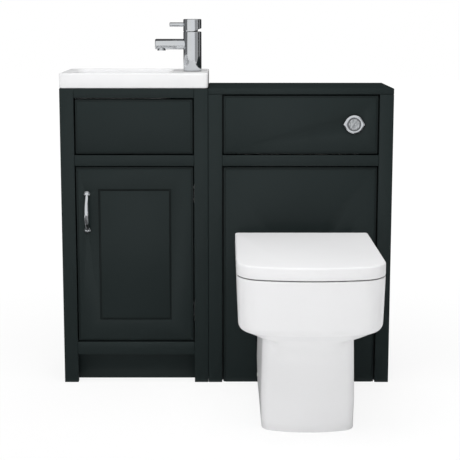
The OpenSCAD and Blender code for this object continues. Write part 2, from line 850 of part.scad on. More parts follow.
module basin() {
    at_cabinet = bowl_taper * basin_h / bowl_d;
    color(china) difference() {
        union() {
            hull() {
                rounded_block(left_x, van_x1, front_y, back_y, 5, cabinet_h, basin_h - slab_round);
                rounded_block(left_x + slab_round, van_x1 - slab_round, front_y + slab_round,
                    back_y - slab_round, 4, basin_top - slab_round, slab_round);
            }
            hull() {
                bowl_level(bowl_wall - at_cabinet, cabinet_h + 5);
                bowl_level(bowl_wall - bowl_taper, bowl_under);
            }
        }
        hull() {
            bowl_level(0, basin_top + 0.1);
            bowl_level(-bowl_taper, bowl_floor);
        }
        board(bowl_x + bowl_l / 2 + bowl_wall, van_x1 - 12, front_y + frame_t + 1, back_y - 12,
            cabinet_h - 1, under_deck);
        bar_z(bowl_x, bowl_y, bowl_under - 1, bowl_wall + 2, waste_hole_r);
        bar_z(tap_x, tap_y, under_deck - 1, deck_t + 2, tap_hole_r);
        bar_y(bowl_x, overflow_y - 5, overflow_z, overflow_d + 5, overflow_r);
    }
}

module overflow_ring() {
    tilt = atan(bowl_taper / bowl_d);
    color(chrome) difference() {
        union() {
            bar_y(bowl_x, overflow_y - 3, overflow_z, 9, overflow_r - seat_fit);
            translate([bowl_x, overflow_y - 0.4, overflow_z]) rotate([90 - tilt, 0, 0])
            cylinder(h = 1.6, r = overflow_r + 2.5);
        }
        translate([bowl_x, overflow_y + 6.5, overflow_z]) rotate([90 - tilt, 0, 0])
        cylinder(h = 12, r = overflow_r - 2.5);
    }
}

// Flanged tube with a slot for the overflow and a cross that guides the plug's stem
module waste_body() {
    bore_r = waste_r - 3.5;
    color(chrome) difference() {
        union() {
            bar_z(bowl_x, bowl_y, bowl_floor, flange_t, flange_r);
            bar_z(bowl_x, bowl_y, tail_z, bowl_floor - tail_z + 0.5, waste_r);
        }
        difference() {
            bar_z(bowl_x, bowl_y, tail_z - 1, bowl_floor - tail_z + flange_t + 2, bore_r);
            board(bowl_x - bore_r - 1, bowl_x + bore_r + 1, bowl_y - 1.5, bowl_y + 1.5, bowl_floor - 26,
                bowl_floor - 21);
            bar_z(bowl_x, bowl_y, bowl_floor - 26, 5, stem_r + 3);
        }
        bar_z(bowl_x, bowl_y, bowl_floor - 27, 7, stem_r + run_fit);
        bar_y(bowl_x, bowl_y, bowl_floor - bowl_wall / 2, waste_r + 1, 3);
    }
}

module waste_nuts() {
    nut_z = tail_z - 4;
    color(chrome) {
        difference() {
            bar_z(bowl_x, bowl_y, bowl_under - lock_nut_h, lock_nut_h, lock_nut_r);
            bar_z(bowl_x, bowl_y, bowl_under - lock_nut_h - 1, lock_nut_h + 2, waste_r + seat_fit);
        }
        difference() {
            bar_z(bowl_x, bowl_y, nut_z - 5, 20, waste_r + 5);
            bar_z(bowl_x, bowl_y, nut_z, 16, waste_r + seat_fit);
            bar_z(bowl_x, bowl_y, nut_z - 6, 7, drain_r + seat_fit);
        }
        difference() {
            bar_y(bowl_x, nut_end_y - 18, drain_z, 18, drain_r + 7);
            bar_y(bowl_x, nut_end_y - 19, drain_z, 20, drain_r + seat_fit);
        }
    }
}

module waste_plug() {
    color(chrome) {
        bar_z(bowl_x, bowl_y, bowl_floor + flange_t + seat_fit, 3, plug_r);
        translate([bowl_x, bowl_y, bowl_floor + flange_t + seat_fit + 3]) intersection() {
            translate([0, 0, 3 - 2 * plug_r * 1.2]) sphere(r = 2 * plug_r * 1.2, $fn = 96);
            cylinder(h = 6, r = plug_r - 1);
        }
        bar_z(bowl_x, bowl_y, bowl_floor - 26 - 2 - plug_travel, 28 + plug_travel + flange_t + 1, stem_r);
    }
}

module trap_body() {
    color(chrome) difference() {
        union() {
            bar_z(bowl_x, bowl_y, tail_z - 4, 4, waste_r);
            bar_z(bowl_x, bowl_y, drain_z - 42, tail_z - drain_z + 40, drain_r);
            bar_z(bowl_x, bowl_y, bottle_low + 10, bottle_top - bottle_low - 10, bottle_r);
            translate([bowl_x, bowl_y, bottle_top]) cylinder(h = 12, r1 = bottle_r, r2 = drain_r + 2);
            bar_y(bowl_x, bowl_y, drain_z, bottle_r + 15, drain_r);
        }
        difference() {
            union() {
                bar_z(bowl_x, bowl_y, bottle_low + 9, bottle_top - bottle_low - 11, bottle_r - 2.5);
                bar_y(bowl_x, bowl_y, drain_z, bottle_r + 16, drain_r - 2);
            }
            bar_z(bowl_x, bowl_y, drain_z - 42, 80, drain_r);
        }
        bar_z(bowl_x, bowl_y, drain_z - 43, tail_z - drain_z + 45, drain_r - 1.5);
    }
}

module trap_cup() {
    color(chrome) difference() {
        union() {
            bar_z(bowl_x, bowl_y, bottle_low - 18, 40, bottle_r + 3);
            bar_z(bowl_x, bowl_y, bottle_low - 24, 8, bottle_r - 8);
        }
        bar_z(bowl_x, bowl_y, bottle_low + 10, 13, bottle_r + seat_fit);
        bar_z(bowl_x, bowl_y, bottle_low - 15, 30, bottle_r - 2.5);
    }
}

module waste_pipe() {
    pipe_y = bowl_y + bottle_r + 15;
    color(chrome) difference() {
        union() {
            bar_y(bowl_x, pipe_y, drain_z, back_y - pipe_y, drain_r - seat_fit);
            bar_y(bowl_x, nut_end_y, drain_z, back_y - nut_end_y, drain_r);
        }
        bar_y(bowl_x, pipe_y - 1, drain_z, back_y - pipe_y + 2, drain_r - 2);
    }
}

// Tap

module tap_body() {
    color(chrome) difference() {
        union() {
            bar_z(tap_x, tap_y, basin_top, tap_body_h, tap_r);
            bar_x(tap_x - spout_reach, tap_y, basin_top + spout_z, spout_reach, spout_r);
        }
        bar_z(tap_x, tap_y, tap_top - cartridge_well, cartridge_well + 1, cartridge_r + seat_fit);
        bar_x(tap_x - spout_reach + 6, tap_y, basin_top + spout_z, spout_reach - 6, spout_r - 4);
        bar_z(tap_x - spout_reach + 6 + aerator_r, tap_y, basin_top + spout_z - spout_r - 1, spout_r + 1,
            aerator_r - 1);
        for (side = [-1, 1]) {
            bar_z(tap_x + side * 8, tap_y + 5, basin_top - 1, inlet_d + 1, inlet_r);
            bar_z(tap_x + side * 8, tap_y + 5, basin_top - 1, tap_body_h - cartridge_well + 2,
                passage_r);
        }
        bar_z(tap_x, tap_y - 10, basin_top - 1, 16, stud_r + seat_fit / 2);
    }
}

module tap_aerator() {
    low = basin_top + spout_z - spout_r - aerator_out;
    ax = tap_x - spout_reach + 6 + aerator_r;
    color(chrome) difference() {
        union() {
            bar_z(ax, tap_y, low, aerator_out - seat_fit, aerator_r);
            bar_z(ax, tap_y, low, aerator_out + 6, aerator_r - 1.2);
        }
        intersection() {
            bar_x(tap_x - spout_reach, tap_y, basin_top + spout_z, spout_reach, spout_r + seat_fit);
            difference() {
                bar_z(ax, tap_y, low, 20, aerator_r + 1);
                bar_z(ax, tap_y, low - 1, 22, aerator_r - 1.1);
            }
        }
        bar_z(ax, tap_y, low - 1, 3, aerator_r - 3);
        for (a = [0:60:300]) {
            bar_z(ax + 5 * cos(a), tap_y + 5 * sin(a), low, 12, 1.2);
        }
    }
}

module tap_cartridge() {
    color(plastic) difference() {
        bar_z(tap_x, tap_y, tap_top - cartridge_well, cartridge_well - 0.5, cartridge_r);
        bar_z(tap_x, tap_y, tap_top - 26, 30, spindle_r + run_fit);
        for (side = [-1, 1]) {
            bar_z(tap_x + side * 8, tap_y + 5, tap_top - cartridge_well - 1, 10, passage_r);
        }
    }
}

module tap_spindle() {
    color(chrome) difference() {
        union() {
            bar_z(tap_x, tap_y, tap_top - 26 + seat_fit, lift_z - tap_top + 26 + 4, spindle_r);
            intersection() {
                translate([tap_x, tap_y, lift_z]) sphere(r = spindle_head_r);
                bar_z(tap_x, tap_y, cap_z + 0.3, lift_z - cap_z + 2.7, spindle_head_r + 1);
            }
        }
        bar_y(tap_x, tap_y - spindle_head_r - 1, lift_z, 2 * spindle_head_r + 2, lift_pin_r + run_fit);
    }
}

// The right half of the cap's lower edge slopes up, so that the lever can lift
module tap_cap() {
    color(chrome) difference() {
        union() {
            bar_z(tap_x, tap_y, cap_z, cap_h - 1.5, tap_r);
            translate([tap_x, tap_y, cap_z + cap_h - 1.5]) cylinder(h = 1.5, r1 = tap_r, r2 = tap_r - 1.5);
        }
        bar_z(tap_x, tap_y, cap_z - 1, lift_z - cap_z + cap_room_top + 1, cap_room_r);
        bar_y(tap_x, tap_y - tap_r + 3, lift_z, 2 * tap_r - 6, lift_pin_r + seat_fit / 4);
        translate([tap_x, 0, lift_z]) rotate([0, -lift_angle, 0])
        translate([-lever_r, tap_y - tap_r - 1, -26]) cube([2 * tap_r, 2 * tap_r + 2, 20 + seat_fit]);
        bar_x(tap_x - tap_r - 1, tap_y, cap_z + lever_up, 8, lever_r - 2 + seat_fit / 4);
    }
}

module tap_lever() {
    color(chrome) difference() {
        union() {
            bar_x(tap_x - lever_reach + 1, tap_y, cap_z + lever_up, lever_reach - tap_r + 0.5, lever_r);
            bar_x(tap_x - tap_r - 1, tap_y, cap_z + lever_up, 7, lever_r - 2);
            translate([tap_x - lever_reach, tap_y, cap_z + lever_up]) rotate([0, 90, 0])
            cylinder(h = 1, r1 = lever_r - 1, r2 = lever_r);
        }
        difference() {
            bar_z(tap_x, tap_y, cap_z, cap_h, tap_r + seat_fit / 2);
            bar_x(tap_x - tap_r - 2, tap_y, cap_z + lever_up, 10, lever_r - 1.9);
        }
    }
}

module tap_lift_pin() {
    color(steel) bar_y(tap_x, tap_y - tap_r + 3.5, lift_z, 2 * tap_r - 7, lift_pin_r);
}

// Stud, horseshoe plate and nut that clamp the tap to the deck
module tap_fixing() {
    stud_y = tap_y - 10;
    color(brass) {
        bar_z(tap_x, stud_y, under_deck - 22, basin_top + 15 - under_deck + 22, stud_r);
        translate([tap_x, stud_y, under_deck - 3 - 7]) difference() {
            cylinder(h = 7, r = 8.5, $fn = 6);
            translate([0, 0, -1]) cylinder(h = 9, r = stud_r + seat_fit / 2);
        }
        difference() {
            bar_z(tap_x, tap_y, under_deck - 3, 3, tap_hole_r + 6);
            board(tap_x - 14, tap_x + 14, tap_y - 3, tap_y + 40, under_deck - 4, under_deck + 1);
            bar_z(tap_x, stud_y, under_deck - 4, 5, stud_r + seat_fit / 2);
        }
    }
}

// Flush button and cistern

// A round ring with a point to the left and to the right
module bezel_outline() {
    half = bezel_w / 2;
    touch = acos(bezel_r / half);
    circle(r = bezel_r);
    for (side = [0, 180]) rotate([0, 0, side]) {
        polygon([
            [half, 0],
            [bezel_r * cos(touch), bezel_r * sin(touch)],
            [0, 0],
            [bezel_r * cos(touch), -bezel_r * sin(touch)]
        ]);
    }
}

module button_bezel() {
    color(chrome) difference() {
        union() {
            translate([button_x, face_y, button_z]) rotate([90, 0, 0])
            linear_extrude(height = bezel_out - 2) bezel_outline();
            bar_y(button_x, face_y - bezel_out, button_z, bezel_out, bezel_r - 3);
            bar_y(button_x, face_y - 0.5, button_z, barrel_back - face_y + 0.5, barrel_r);
            bar_y(button_x, face_back, button_z, 6, barrel_r + 6);
        }
        bar_y(button_x, face_y - bezel_out - 1, button_z, 4, bezel_bore_r);
        bar_y(button_x, face_y - bezel_out, button_z, barrel_back - face_y + bezel_out - barrel_floor,
            button_r + run_fit);
        bar_y(button_x, face_y, button_z, barrel_back - face_y + 2, rod_r + run_fit);
    }
}

// Push button with the rod that works the crank
module flush_button() {
    rod_end = crank_y - crank_arm / 2 - seat_fit;
    button_y = face_y - bezel_out - 1;
    button_end = barrel_back - barrel_floor - button_travel - pass_fit;
    color(chrome) {
        bar_y(button_x, button_y, button_z, button_end - button_y, button_r);
        bar_y(button_x, button_end - 1, button_z, rod_end - button_end + 1, rod_r);
    }
}

// Shaft with a hanging arm for the rod and a fork under the valve's collar
module flush_crank() {
    fork_in = valve_tube_r + 1.5;
    color(plastic) {
        bar_x(valve_x - crank_tail, crank_y, crank_z, button_x - valve_x + crank_tail + crank_end, crank_r);
        board(button_x - 7, button_x + 7, crank_y - crank_arm / 2, crank_y + crank_arm / 2,
            crank_z - crank_drop - 8, crank_z);
        for (side = [-1, 1]) {
            board(valve_x + side * (fork_in + 2.5) - 2.5, valve_x + side * (fork_in + 2.5) + 2.5,
                crank_y, crank_y + crank_reach, crank_z - crank_arm / 2, crank_z + crank_arm / 2);
        }
    }
}

// Outlet seat with a windowed tower that guides the plug
module flush_valve() {
    window_half = 12;
    window_low = tank_floor + 10;
    window_high = window_low + 50;
    color(plastic) difference() {
        union() {
            bar_z(valve_x, valve_y, tank_floor, valve_top - tank_floor, valve_r);
            bar_z(valve_x, valve_y, spigot_low, tank_floor - spigot_low + 1, spigot_r);
            bar_z(valve_x, valve_y, tank_z - 8, 8, spigot_r + 7);
        }
        bar_z(valve_x, valve_y, tank_floor + 6, valve_top - tank_floor - 10, valve_r - 3);
        bar_z(valve_x, valve_y, spigot_low - 1, tank_floor - spigot_low + 9, valve_bore_r);
        bar_z(valve_x, valve_y, valve_top - 5, 6, valve_tube_r + run_fit);
        board(valve_x - valve_r, valve_x + valve_r, valve_y - window_half, valve_y + window_half,
            window_low, window_high);
        board(valve_x - window_half, valve_x + window_half, valve_y - valve_r, valve_y + valve_r,
            window_low, window_high);
    }
}

module flush_plug() {
    plug_z = tank_floor + 6 + seat_fit;
    color(plastic) difference() {
        union() {
            bar_z(valve_x, valve_y, plug_z, 5, seal_r);
            bar_z(valve_x, valve_y, plug_z, collar_z + 4 - plug_z, valve_tube_r);
            bar_z(valve_x, valve_y, collar_z, 4, valve_tube_r + 8);
        }
        bar_z(valve_x, valve_y, plug_z - 1, collar_z + 6 - plug_z, valve_tube_r - 2);
    }
}

module cistern_tank() {
    block_y1 = crank_y + crank_r + 4;
    color(plastic) difference() {
        union() {
            difference() {
                board(tank_x0, tank_x1, tank_y0, tank_y1, tank_z, tank_top);
                board(tank_x0 + tank_wall, tank_x1 - tank_wall, tank_y0 + tank_wall, tank_y1 - tank_wall,
                    tank_floor, tank_top + 1);
            }
            for (x = [valve_x - 50, button_x - 22]) {
                board(x, x + 8, tank_y0 + 1, block_y1, crank_z - 9, crank_z + 9);
            }
        }
        bar_x(valve_x - 55, crank_y, crank_z, button_x - valve_x + 45, crank_r + run_fit);
        bar_y(button_x, tank_y0 - 1, button_z, tank_wall + 2, rod_r + pass_fit);
        bar_z(valve_x, valve_y, tank_z - 1, tank_wall + 2, spigot_r + seat_fit);
        bar_z(fill_x, fill_y, tank_z - 1, tank_wall + 2, 10.5 + seat_fit);
        for (side = [-1, 1]) {
            bar_y(valve_x + side * (tank_w / 2 - 30), tank_y1 - tank_wall - 1, tank_screw_z,
                tank_wall + 2, 2.5 + seat_fit);
        }
    }
}

module cistern_lid() {
    color(plastic) difference() {
        union() {
            board(tank_x0 - 3, tank_x1 + 3, tank_y0 - 3, tank_y1, tank_top, tank_top + 8);
            board(tank_x0 + tank_wall + pass_fit, tank_x1 - tank_wall - pass_fit, tank_y0 + tank_wall + pass_fit,
                tank_y1 - tank_wall - pass_fit, tank_top - 4, tank_top + 1);
        }
        board(tank_x0 + tank_wall + 3, tank_x1 - tank_wall - 3, tank_y0 + tank_wall + 3, tank_y1 - tank_wall - 3,
            tank_top - 5, tank_top + 5);
    }
}

module cistern_screws() {
    color(steel) for (side = [-1, 1]) {
        bar_y(valve_x + side * (tank_w / 2 - 30), tank_y1 - tank_wall - 2, tank_screw_z,
            tank_wall + 2, 2.5);
        bar_y(valve_x + side * (tank_w / 2 - 30), tank_y1 - tank_wall - 2.5, tank_screw_z, 2.5, 5);
    }
}

module fill_valve() {
    color(plastic) {
        bar_z(fill_x, fill_y, tank_z - 30, tank_wall + 31, 10.5);
        bar_z(fill_x, fill_y, tank_z - 6, 6, 16);
        bar_z(fill_x, fill_y, tank_floor, 8, 16);
        bar_z(fill_x, fill_y, tank_floor, fill_top - tank_floor, riser_r);
        bar_z(fill_x, fill_y, float_low - 4 - seat_fit, 4, riser_r + 6);
        bar_z(fill_x, fill_y, fill_top - fill_head, fill_head, riser_r + 7);
    }
}

module fill_float() {
    color(rubber) difference() {
        bar_z(fill_x, fill_y, float_low, float_h, float_r);
        bar_z(fill_x, fill_y, float_low - 1, float_h + 2, riser_r + run_fit);
        difference() {
            bar_z(fill_x, fill_y, float_low - 1, float_h - 3, float_r - 3);
            bar_z(fill_x, fill_y, float_low - 2, float_h, riser_r + 3);
        }
    }
}

// Bell over the valve's spigot, a straight drop and one elbow to the pan
module flush_pipe() {
    pipe_wall = 2;
    bell_z = spigot_low - 4;
    color(plastic) difference() {
        union() {
            bar_z(valve_x, valve_y, bell_z, 20, spigot_r + 4);
            bar_z(valve_x, valve_y, flush_z + elbow_r, bell_z - flush_z - elbow_r + 1, flush_r);
            translate([valve_x, valve_y - elbow_r, flush_z + elbow_r]) rotate([90, 0, 90])
            rotate([0, 0, -90])
            rotate_extrude(angle = 90) translate([elbow_r, 0]) circle(r = flush_r);
            bar_y(valve_x, pan_back + seat_fit - 14, flush_z, valve_y - elbow_r - pan_back + 14, flush_r);
        }
        bar_z(valve_x, valve_y, spigot_low, 20, spigot_r + seat_fit);
        bar_z(valve_x, valve_y, flush_z + elbow_r, bell_z - flush_z - elbow_r + 5, flush_r - pipe_wall);
        translate([valve_x, valve_y - elbow_r, flush_z + elbow_r]) rotate([90, 0, 90])
        rotate([0, 0, -90])
        rotate_extrude(angle = 90) translate([elbow_r, 0]) circle(r = flush_r - pipe_wall);
        bar_y(valve_x, pan_back - 20, flush_z, valve_y - elbow_r - pan_back + 20, flush_r - pipe_wall);
    }
}

module flush_seal() {
    color(rubber) difference() {
        bar_y(wc_x, pan_back - 14, flush_z, 20, seal_hole_r - seat_fit);
        bar_y(wc_x, pan_back - 15, flush_z, 22, flush_r + seat_fit / 2);
    }
}

// Pan, seat and lid

// The bowl narrows a little below its rim, turns under and slopes in until it ends inside the pedestal
module bowl_body(inset, top) {
    back = pan_back - inset;
    hull() {
        slice(d_plan(pan_w / 2 - inset - 2, back, pan_front + inset + 2, corner_r - inset, front_r - inset), top);
        slice(d_plan(pan_w / 2 - inset, back, pan_front + inset, corner_r - inset, front_r - inset), top - 3);
        for (step = belly_path) {
            drop = side_draft + step[0] + inset;
            slice(d_plan(pan_w / 2 - drop, back, pan_front + drop, max(corner_r - drop * 0.3, 20), front_r - drop),
                belly_z - step[1] + inset);
        }
    }
}

module pedestal_body(inset, low) {
    back = pan_back - inset;
    half_w = pedestal_w / 2 - inset;
    corner = foot_corner_r - inset;
    bow = foot_front_r - inset;
    waist_z = 76;
    drop = (waist_z - low) / waist_z;
    hull() {
        slice(d_plan(half_w + 1 - 2.5 * drop, back, foot_front + inset + 2 - 2 * drop, corner, bow), low);
        slice(d_plan(half_w + 1, back, foot_front + inset + 2, corner, bow), waist_z);
        slice(d_plan(half_w - 3, back, foot_front + inset + 8, corner, bow), belly_z);
    }
}

module bowl_hollow(grow) {
    hull() {
        egg_slice(mouth_w / 2 + grow, mouth_l / 2 + grow, mouth_y, rim_z + 1);
        egg_slice(mouth_w / 2 - 8 + grow, mouth_l / 2 - 10 + grow, mouth_y, rim_z - 80);
        egg_slice(sump_half_w + grow, sump_half_l + grow, sump_y, sump_z - grow);
    }
}

// A round bend in the plane of the waterway, from one heading to another
module trap_bend(y, z, r, from, to) {
    turn = to > from ? 1 : -1;
    translate([wc_x, y - turn * trap_r * sin(from), z + turn * trap_r * cos(from)])
    rotate([0, 90, 0]) rotate([0, 0, 90])
    rotate([0, 0, (turn > 0 ? from - 90 : to + 90)])
    rotate_extrude(angle = abs(to - from)) translate([trap_r, 0]) circle(r = r);
}

// A straight run, a little wider than the bends and lapped over their ends
module trap_run(y, z, r, heading, l) {
    lap = 3;
    translate([wc_x, y, z]) rotate([heading - 90, 0, 0]) translate([0, 0, -lap])
    cylinder(h = l + 2 * lap, r = r + 0.4);
}

// From the sump the waterway bends up, turns over the weir and falls into the outlet
module waterway(r, spare) {
    trap_run(sump_y, trap_in_z, r, 0, trap_y1 - sump_y);
    trap_bend(trap_y1, trap_in_z, r, 0, 60);
    trap_run(trap_y2, trap_z2, r, 60, trap_rise);
    trap_bend(trap_y3, trap_z3, r, 60, -45);
    trap_run(trap_y4, trap_z4, r, -45, trap_fall + spare);
}

module pan() {
    outlet_y = pan_back - 45;
    color(china) difference() {
        union() {
            difference() {
                union() {
                    bowl_body(0, rim_z);
                    pedestal_body(0, 0);
                }
                difference() {
                    union() {
                        bowl_body(china_t, rim_z - china_t);
                        pedestal_body(china_t, -40);
                    }
                    bowl_hollow(china_t);
                }
            }
            waterway(trap_bore_r + trap_wall, 0);
            bar_y(wc_x, outlet_y, soil_z, pan_back + spigot_l - outlet_y, soil_r);
            bar_y(wc_x, bowl_mouth_back - 20, flush_z, pan_back - bowl_mouth_back + 20, seal_hole_r + 8);
        }
        bowl_hollow(0);
        waterway(trap_bore_r, 8);
        bar_y(wc_x, outlet_y + trap_wall, soil_z, pan_back + spigot_l - outlet_y, soil_r - trap_wall);
        bar_y(wc_x, bowl_mouth_back - 30, flush_z, pan_back - bowl_mouth_back, flush_r);
        bar_y(wc_x, pan_back - 40, flush_z, 41, seal_hole_r);
        for (x = hinge_xs) {
            bar_z(x, axis_y, rim_z - china_t - 1, china_t + 2, 6);
        }
        for (side = [-1, 1]) {
            bar_x(wc_x + side * pedestal_w / 2 - 25, bracket_y, bracket_z, 50, 4);
        }
    }
}

// Floor brackets inside the foot, with the screws that hold the pan to them from the sides
module pan_fixings() {
    inner = pedestal_w / 2 - china_t - 1.5;
    cap_t = 1.8;
    cap_r = 5.5;
    for (side = [0, 1]) translate([wc_x, 0, 0]) mirror([side, 0, 0]) {
        color(plastic) difference() {
            union() {
                board(inner - 40, inner - seat_fit, bracket_y - 20, bracket_y + 20, 0, 5);
                board(inner - 10, inner - seat_fit, bracket_y - 15, bracket_y + 15, 0, bracket_z + 14);
            }
            bar_z(inner - 26, bracket_y, -1, 7, 3.5);
            bar_x(inner - 11, bracket_y, bracket_z, 12, 2.6);
        }
        color(chrome) {
            bar_x(inner - 8, bracket_y, bracket_z, pedestal_w / 2 + 1 - inner + 8, 2.5);
            bar_x(pedestal_w / 2 + 0.5, bracket_y, bracket_z, cap_t, cap_r);
        }
    }
}

module soil_connector() {
    bell_y = low_back + 4;
    bell_l = 40;
    color(plastic) difference() {
        union() {
            bar_y(wc_x, bell_y, soil_z, bell_l, soil_r + 7);
            bar_y(wc_x, bell_y, soil_z, back_y - bell_y, soil_pipe_r);
        }
        bar_y(wc_x, bell_y - 1, soil_z, pan_back + spigot_l - bell_y + 1 + seat_fit, soil_r + pass_fit);
        bar_y(wc_x, bell_y - 1, soil_z, back_y - bell_y + 2, soil_pipe_r - 5);
    }
}

// Each hinge is a foot with a stud, a round head and a pin that stands out on both sides
module seat_hinges() {
    pin_l = post_w + 2 * (ear_w + ear_gap);
    color(chrome) for (x = hinge_xs) {
        bar_z(x, axis_y, rim_z, 2.5, 11.5);
        bar_z(x, axis_y, rim_z - hinge_stud_l, hinge_stud_l + 1, 4);
        board(x - post_w / 2, x + post_w / 2, axis_y - post_r, axis_y + post_r, rim_z + 1, axis_z);
        bar_x(x - post_w / 2, axis_y, axis_z, post_w, post_r);
        bar_x(x - pin_l / 2, axis_y, axis_z, pin_l, seat_pin_r);
    }
}

module seat() {
    inner_x = seat_hinge_pitch / 2 - post_w / 2 - ear_gap;
    color(china) difference() {
        union() {
            difference() {
                translate([wc_x, 0, seat_z0]) linear_extrude(height = seat_t)
                polygon(d_plan(pan_w / 2 - seat_in, seat_back_y, pan_front + seat_in, corner_r - seat_in,
                    front_r - seat_in));
                translate([wc_x, (seat_mouth_front + seat_mouth_back) / 2, seat_z0 - 1])
                linear_extrude(height = seat_t + 2)
                polygon(egg(seat_mouth_w / 2, (seat_mouth_back - seat_mouth_front) / 2, 2.6));
            }
            for (side = [-1, 1]) {
                mid = wc_x + side * (inner_x - ear_w / 2);
                board(mid - ear_w / 2, mid + ear_w / 2, seat_back_y - 2, axis_y, axis_z - ear_r + 2,
                    axis_z + ear_r);
                bar_x(mid - ear_w / 2, axis_y, axis_z, ear_w, ear_r);
            }
        }
        for (side = [-1, 1]) {
            bar_x(wc_x + side * (inner_x - ear_w / 2) - ear_w, axis_y, axis_z, 2 * ear_w, seat_pin_r + run_fit);
        }
    }
}

// Four round feet, two of them behind the front and two before the hinges
module buffer_set(z0, z1, front_set) {
    for (side = [-1, 1]) for (y = [pan_front + front_set, seat_back_y - buffer_back_set]) {
        bar_z(wc_x + side * (pan_w / 2 - seat_in - buffer_in), y, z0, z1 - z0, buffer_r);
    }
}

module seat_buffers() {
    color(plastic) buffer_set(rim_z + seat_fit, seat_z0, seat_buffer_set);
}

module lid_buffers() {
    color(plastic) buffer_set(seat_z1 + seat_fit, lid_ceiling, lid_buffer_set);
}

// Outline of the lid, drawn in all round
function lid_plan(inset) = d_plan(pan_w / 2 - inset, lid_back_y - inset, pan_front + inset, corner_r - inset,
    front_r - inset);

// Shallow cover whose skirt hides the seat; behind the axis only its top remains
module lid_shell() {
    difference() {
        union() {
            translate([wc_x, 0, skirt_z]) linear_extrude(height = lid_z - lid_round - skirt_z)
            polygon(lid_plan(0));
            hull() {
                slice(lid_plan(0), lid_z - lid_round - 0.01);
                slice(lid_plan(lid_round * 0.3), lid_z - lid_round * 0.3);
                slice(lid_plan(lid_round), lid_z - 0.01);
            }
        }
        translate([wc_x, 0, skirt_z - 1]) linear_extrude(height = lid_ceiling - skirt_z + 1)
        polygon(d_plan(pan_w / 2 - lid_wall, lid_back_y + 1, pan_front + lid_wall, corner_r - lid_wall,
            front_r - lid_wall));
        board(wc_x - pan_w, wc_x + pan_w, axis_y - 2, lid_back_y + 5, skirt_z - 1, axis_z - 4);
    }
}

module lid() {
    outer_x = seat_hinge_pitch / 2 + post_w / 2 + ear_gap;
    color(china) difference() {
        union() {
            lid_shell();
            for (side = [-1, 1]) {
                mid = wc_x + side * (outer_x + ear_w / 2);
                board(mid - ear_w / 2, mid + ear_w / 2, axis_y - ear_r + 1, axis_y + ear_r - 1, axis_z,
                    lid_ceiling + 1);
                bar_x(mid - ear_w / 2, axis_y, axis_z, ear_w, ear_r);
            }
        }
        for (side = [-1, 1]) {
            bar_x(wc_x + side * (outer_x + ear_w / 2) - ear_w, axis_y, axis_z, 2 * ear_w, seat_pin_r + run_fit);
        }
    }
}

side_panels();
stiles();
face_rails();
vanity_base();
plinth();
back_boards();
shelf();
shelf_pegs();
drawer_panel();
panel_battens();
worktop();
upper_panel();
lower_panel();
unit_bolts();
door();
door_handle();
handle_screws();
hinge_cups();
hinge_pins();
hinge_arms();
hinge_plates();
hinge_packers();
hinge_screws();
door_stops();
basin();
overflow_ring();
waste_body();
waste_nuts();
waste_plug();
trap_body();
trap_cup();
waste_pipe();
tap_body();
tap_aerator();
tap_cartridge();
tap_spindle();
tap_cap();
tap_lever();
tap_lift_pin();
tap_fixing();
button_bezel();
flush_button();
flush_crank();
flush_valve();
flush_plug();
cistern_tank();
cistern_lid();
cistern_screws();
fill_valve();
fill_float();
flush_pipe();
flush_seal();
pan();
pan_fixings();
soil_connector();
seat();
seat_buffers();
lid();
lid_buffers();
seat_hinges();
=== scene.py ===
# %% [markdown]
# A cloakroom vanity suite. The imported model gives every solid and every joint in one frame, in metres, with
# +Z up, the front at -Y and the wall at +Y. This script gives the solids their finishes, and makes finer
# pieces for what the eye follows: eased board edges, glazed china, the tap, the bow handle and the flush
# button. A length that is typed in millimetres is multiplied by MM.

# %% Load the frame
import json
import math

import bmesh
import bpy
from mathutils import Matrix, Vector


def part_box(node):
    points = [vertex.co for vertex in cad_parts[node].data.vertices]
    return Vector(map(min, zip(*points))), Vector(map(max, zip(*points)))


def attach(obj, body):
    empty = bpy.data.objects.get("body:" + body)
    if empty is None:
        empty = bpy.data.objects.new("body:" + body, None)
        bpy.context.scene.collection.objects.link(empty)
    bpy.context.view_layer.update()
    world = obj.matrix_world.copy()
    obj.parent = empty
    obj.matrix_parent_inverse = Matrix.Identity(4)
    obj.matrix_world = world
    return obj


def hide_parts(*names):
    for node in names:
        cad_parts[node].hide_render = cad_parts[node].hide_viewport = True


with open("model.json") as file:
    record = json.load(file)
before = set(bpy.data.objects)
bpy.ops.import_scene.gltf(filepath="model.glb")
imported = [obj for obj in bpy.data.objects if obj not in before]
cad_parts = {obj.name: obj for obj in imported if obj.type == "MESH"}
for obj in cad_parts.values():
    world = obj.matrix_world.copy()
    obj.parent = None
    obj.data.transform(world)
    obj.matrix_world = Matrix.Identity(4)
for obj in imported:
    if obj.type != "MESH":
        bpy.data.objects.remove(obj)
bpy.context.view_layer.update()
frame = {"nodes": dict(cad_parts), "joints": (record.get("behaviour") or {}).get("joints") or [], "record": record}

MM = 0.001

nodes = frame["nodes"]
bodies = frame["record"]["behaviour"]["bodies"]
body_of = {name: body for body, names in bodies.items() for name in names}
slot_of = {row["node"]: row["material_slot"] for row in frame["record"]["subparts"]}

# %% [markdown]
# The camera stands about 3.1 m in front of the cabinets, a little over 1 m above the floor, and looks
# slightly down. The ends of the worktop and the lid of the toilet point to that height. A long lens keeps
# the uprights nearly parallel, and a small shift keeps the tilt low.

# %% Camera
EYE = Vector((-0.007, -3.01, 1.029))
TILT_DOWN = math.radians(8.53)
LENS = 91.3
SHIFT_RIGHT = 0.013
SHIFT_UP = -0.1

camera_data = bpy.data.cameras.new("suite_camera")
camera_data.sensor_width = 36.0
camera_data.lens = LENS
camera_data.shift_x = SHIFT_RIGHT
camera_data.shift_y = SHIFT_UP
camera = bpy.data.objects.new("suite_camera", camera_data)
camera.location = EYE
camera.rotation_euler = (math.pi / 2 - TILT_DOWN, 0.0, 0.0)
bpy.context.scene.collection.objects.link(camera)
bpy.context.scene.camera = camera
print("lens", round(camera_data.lens, 2))

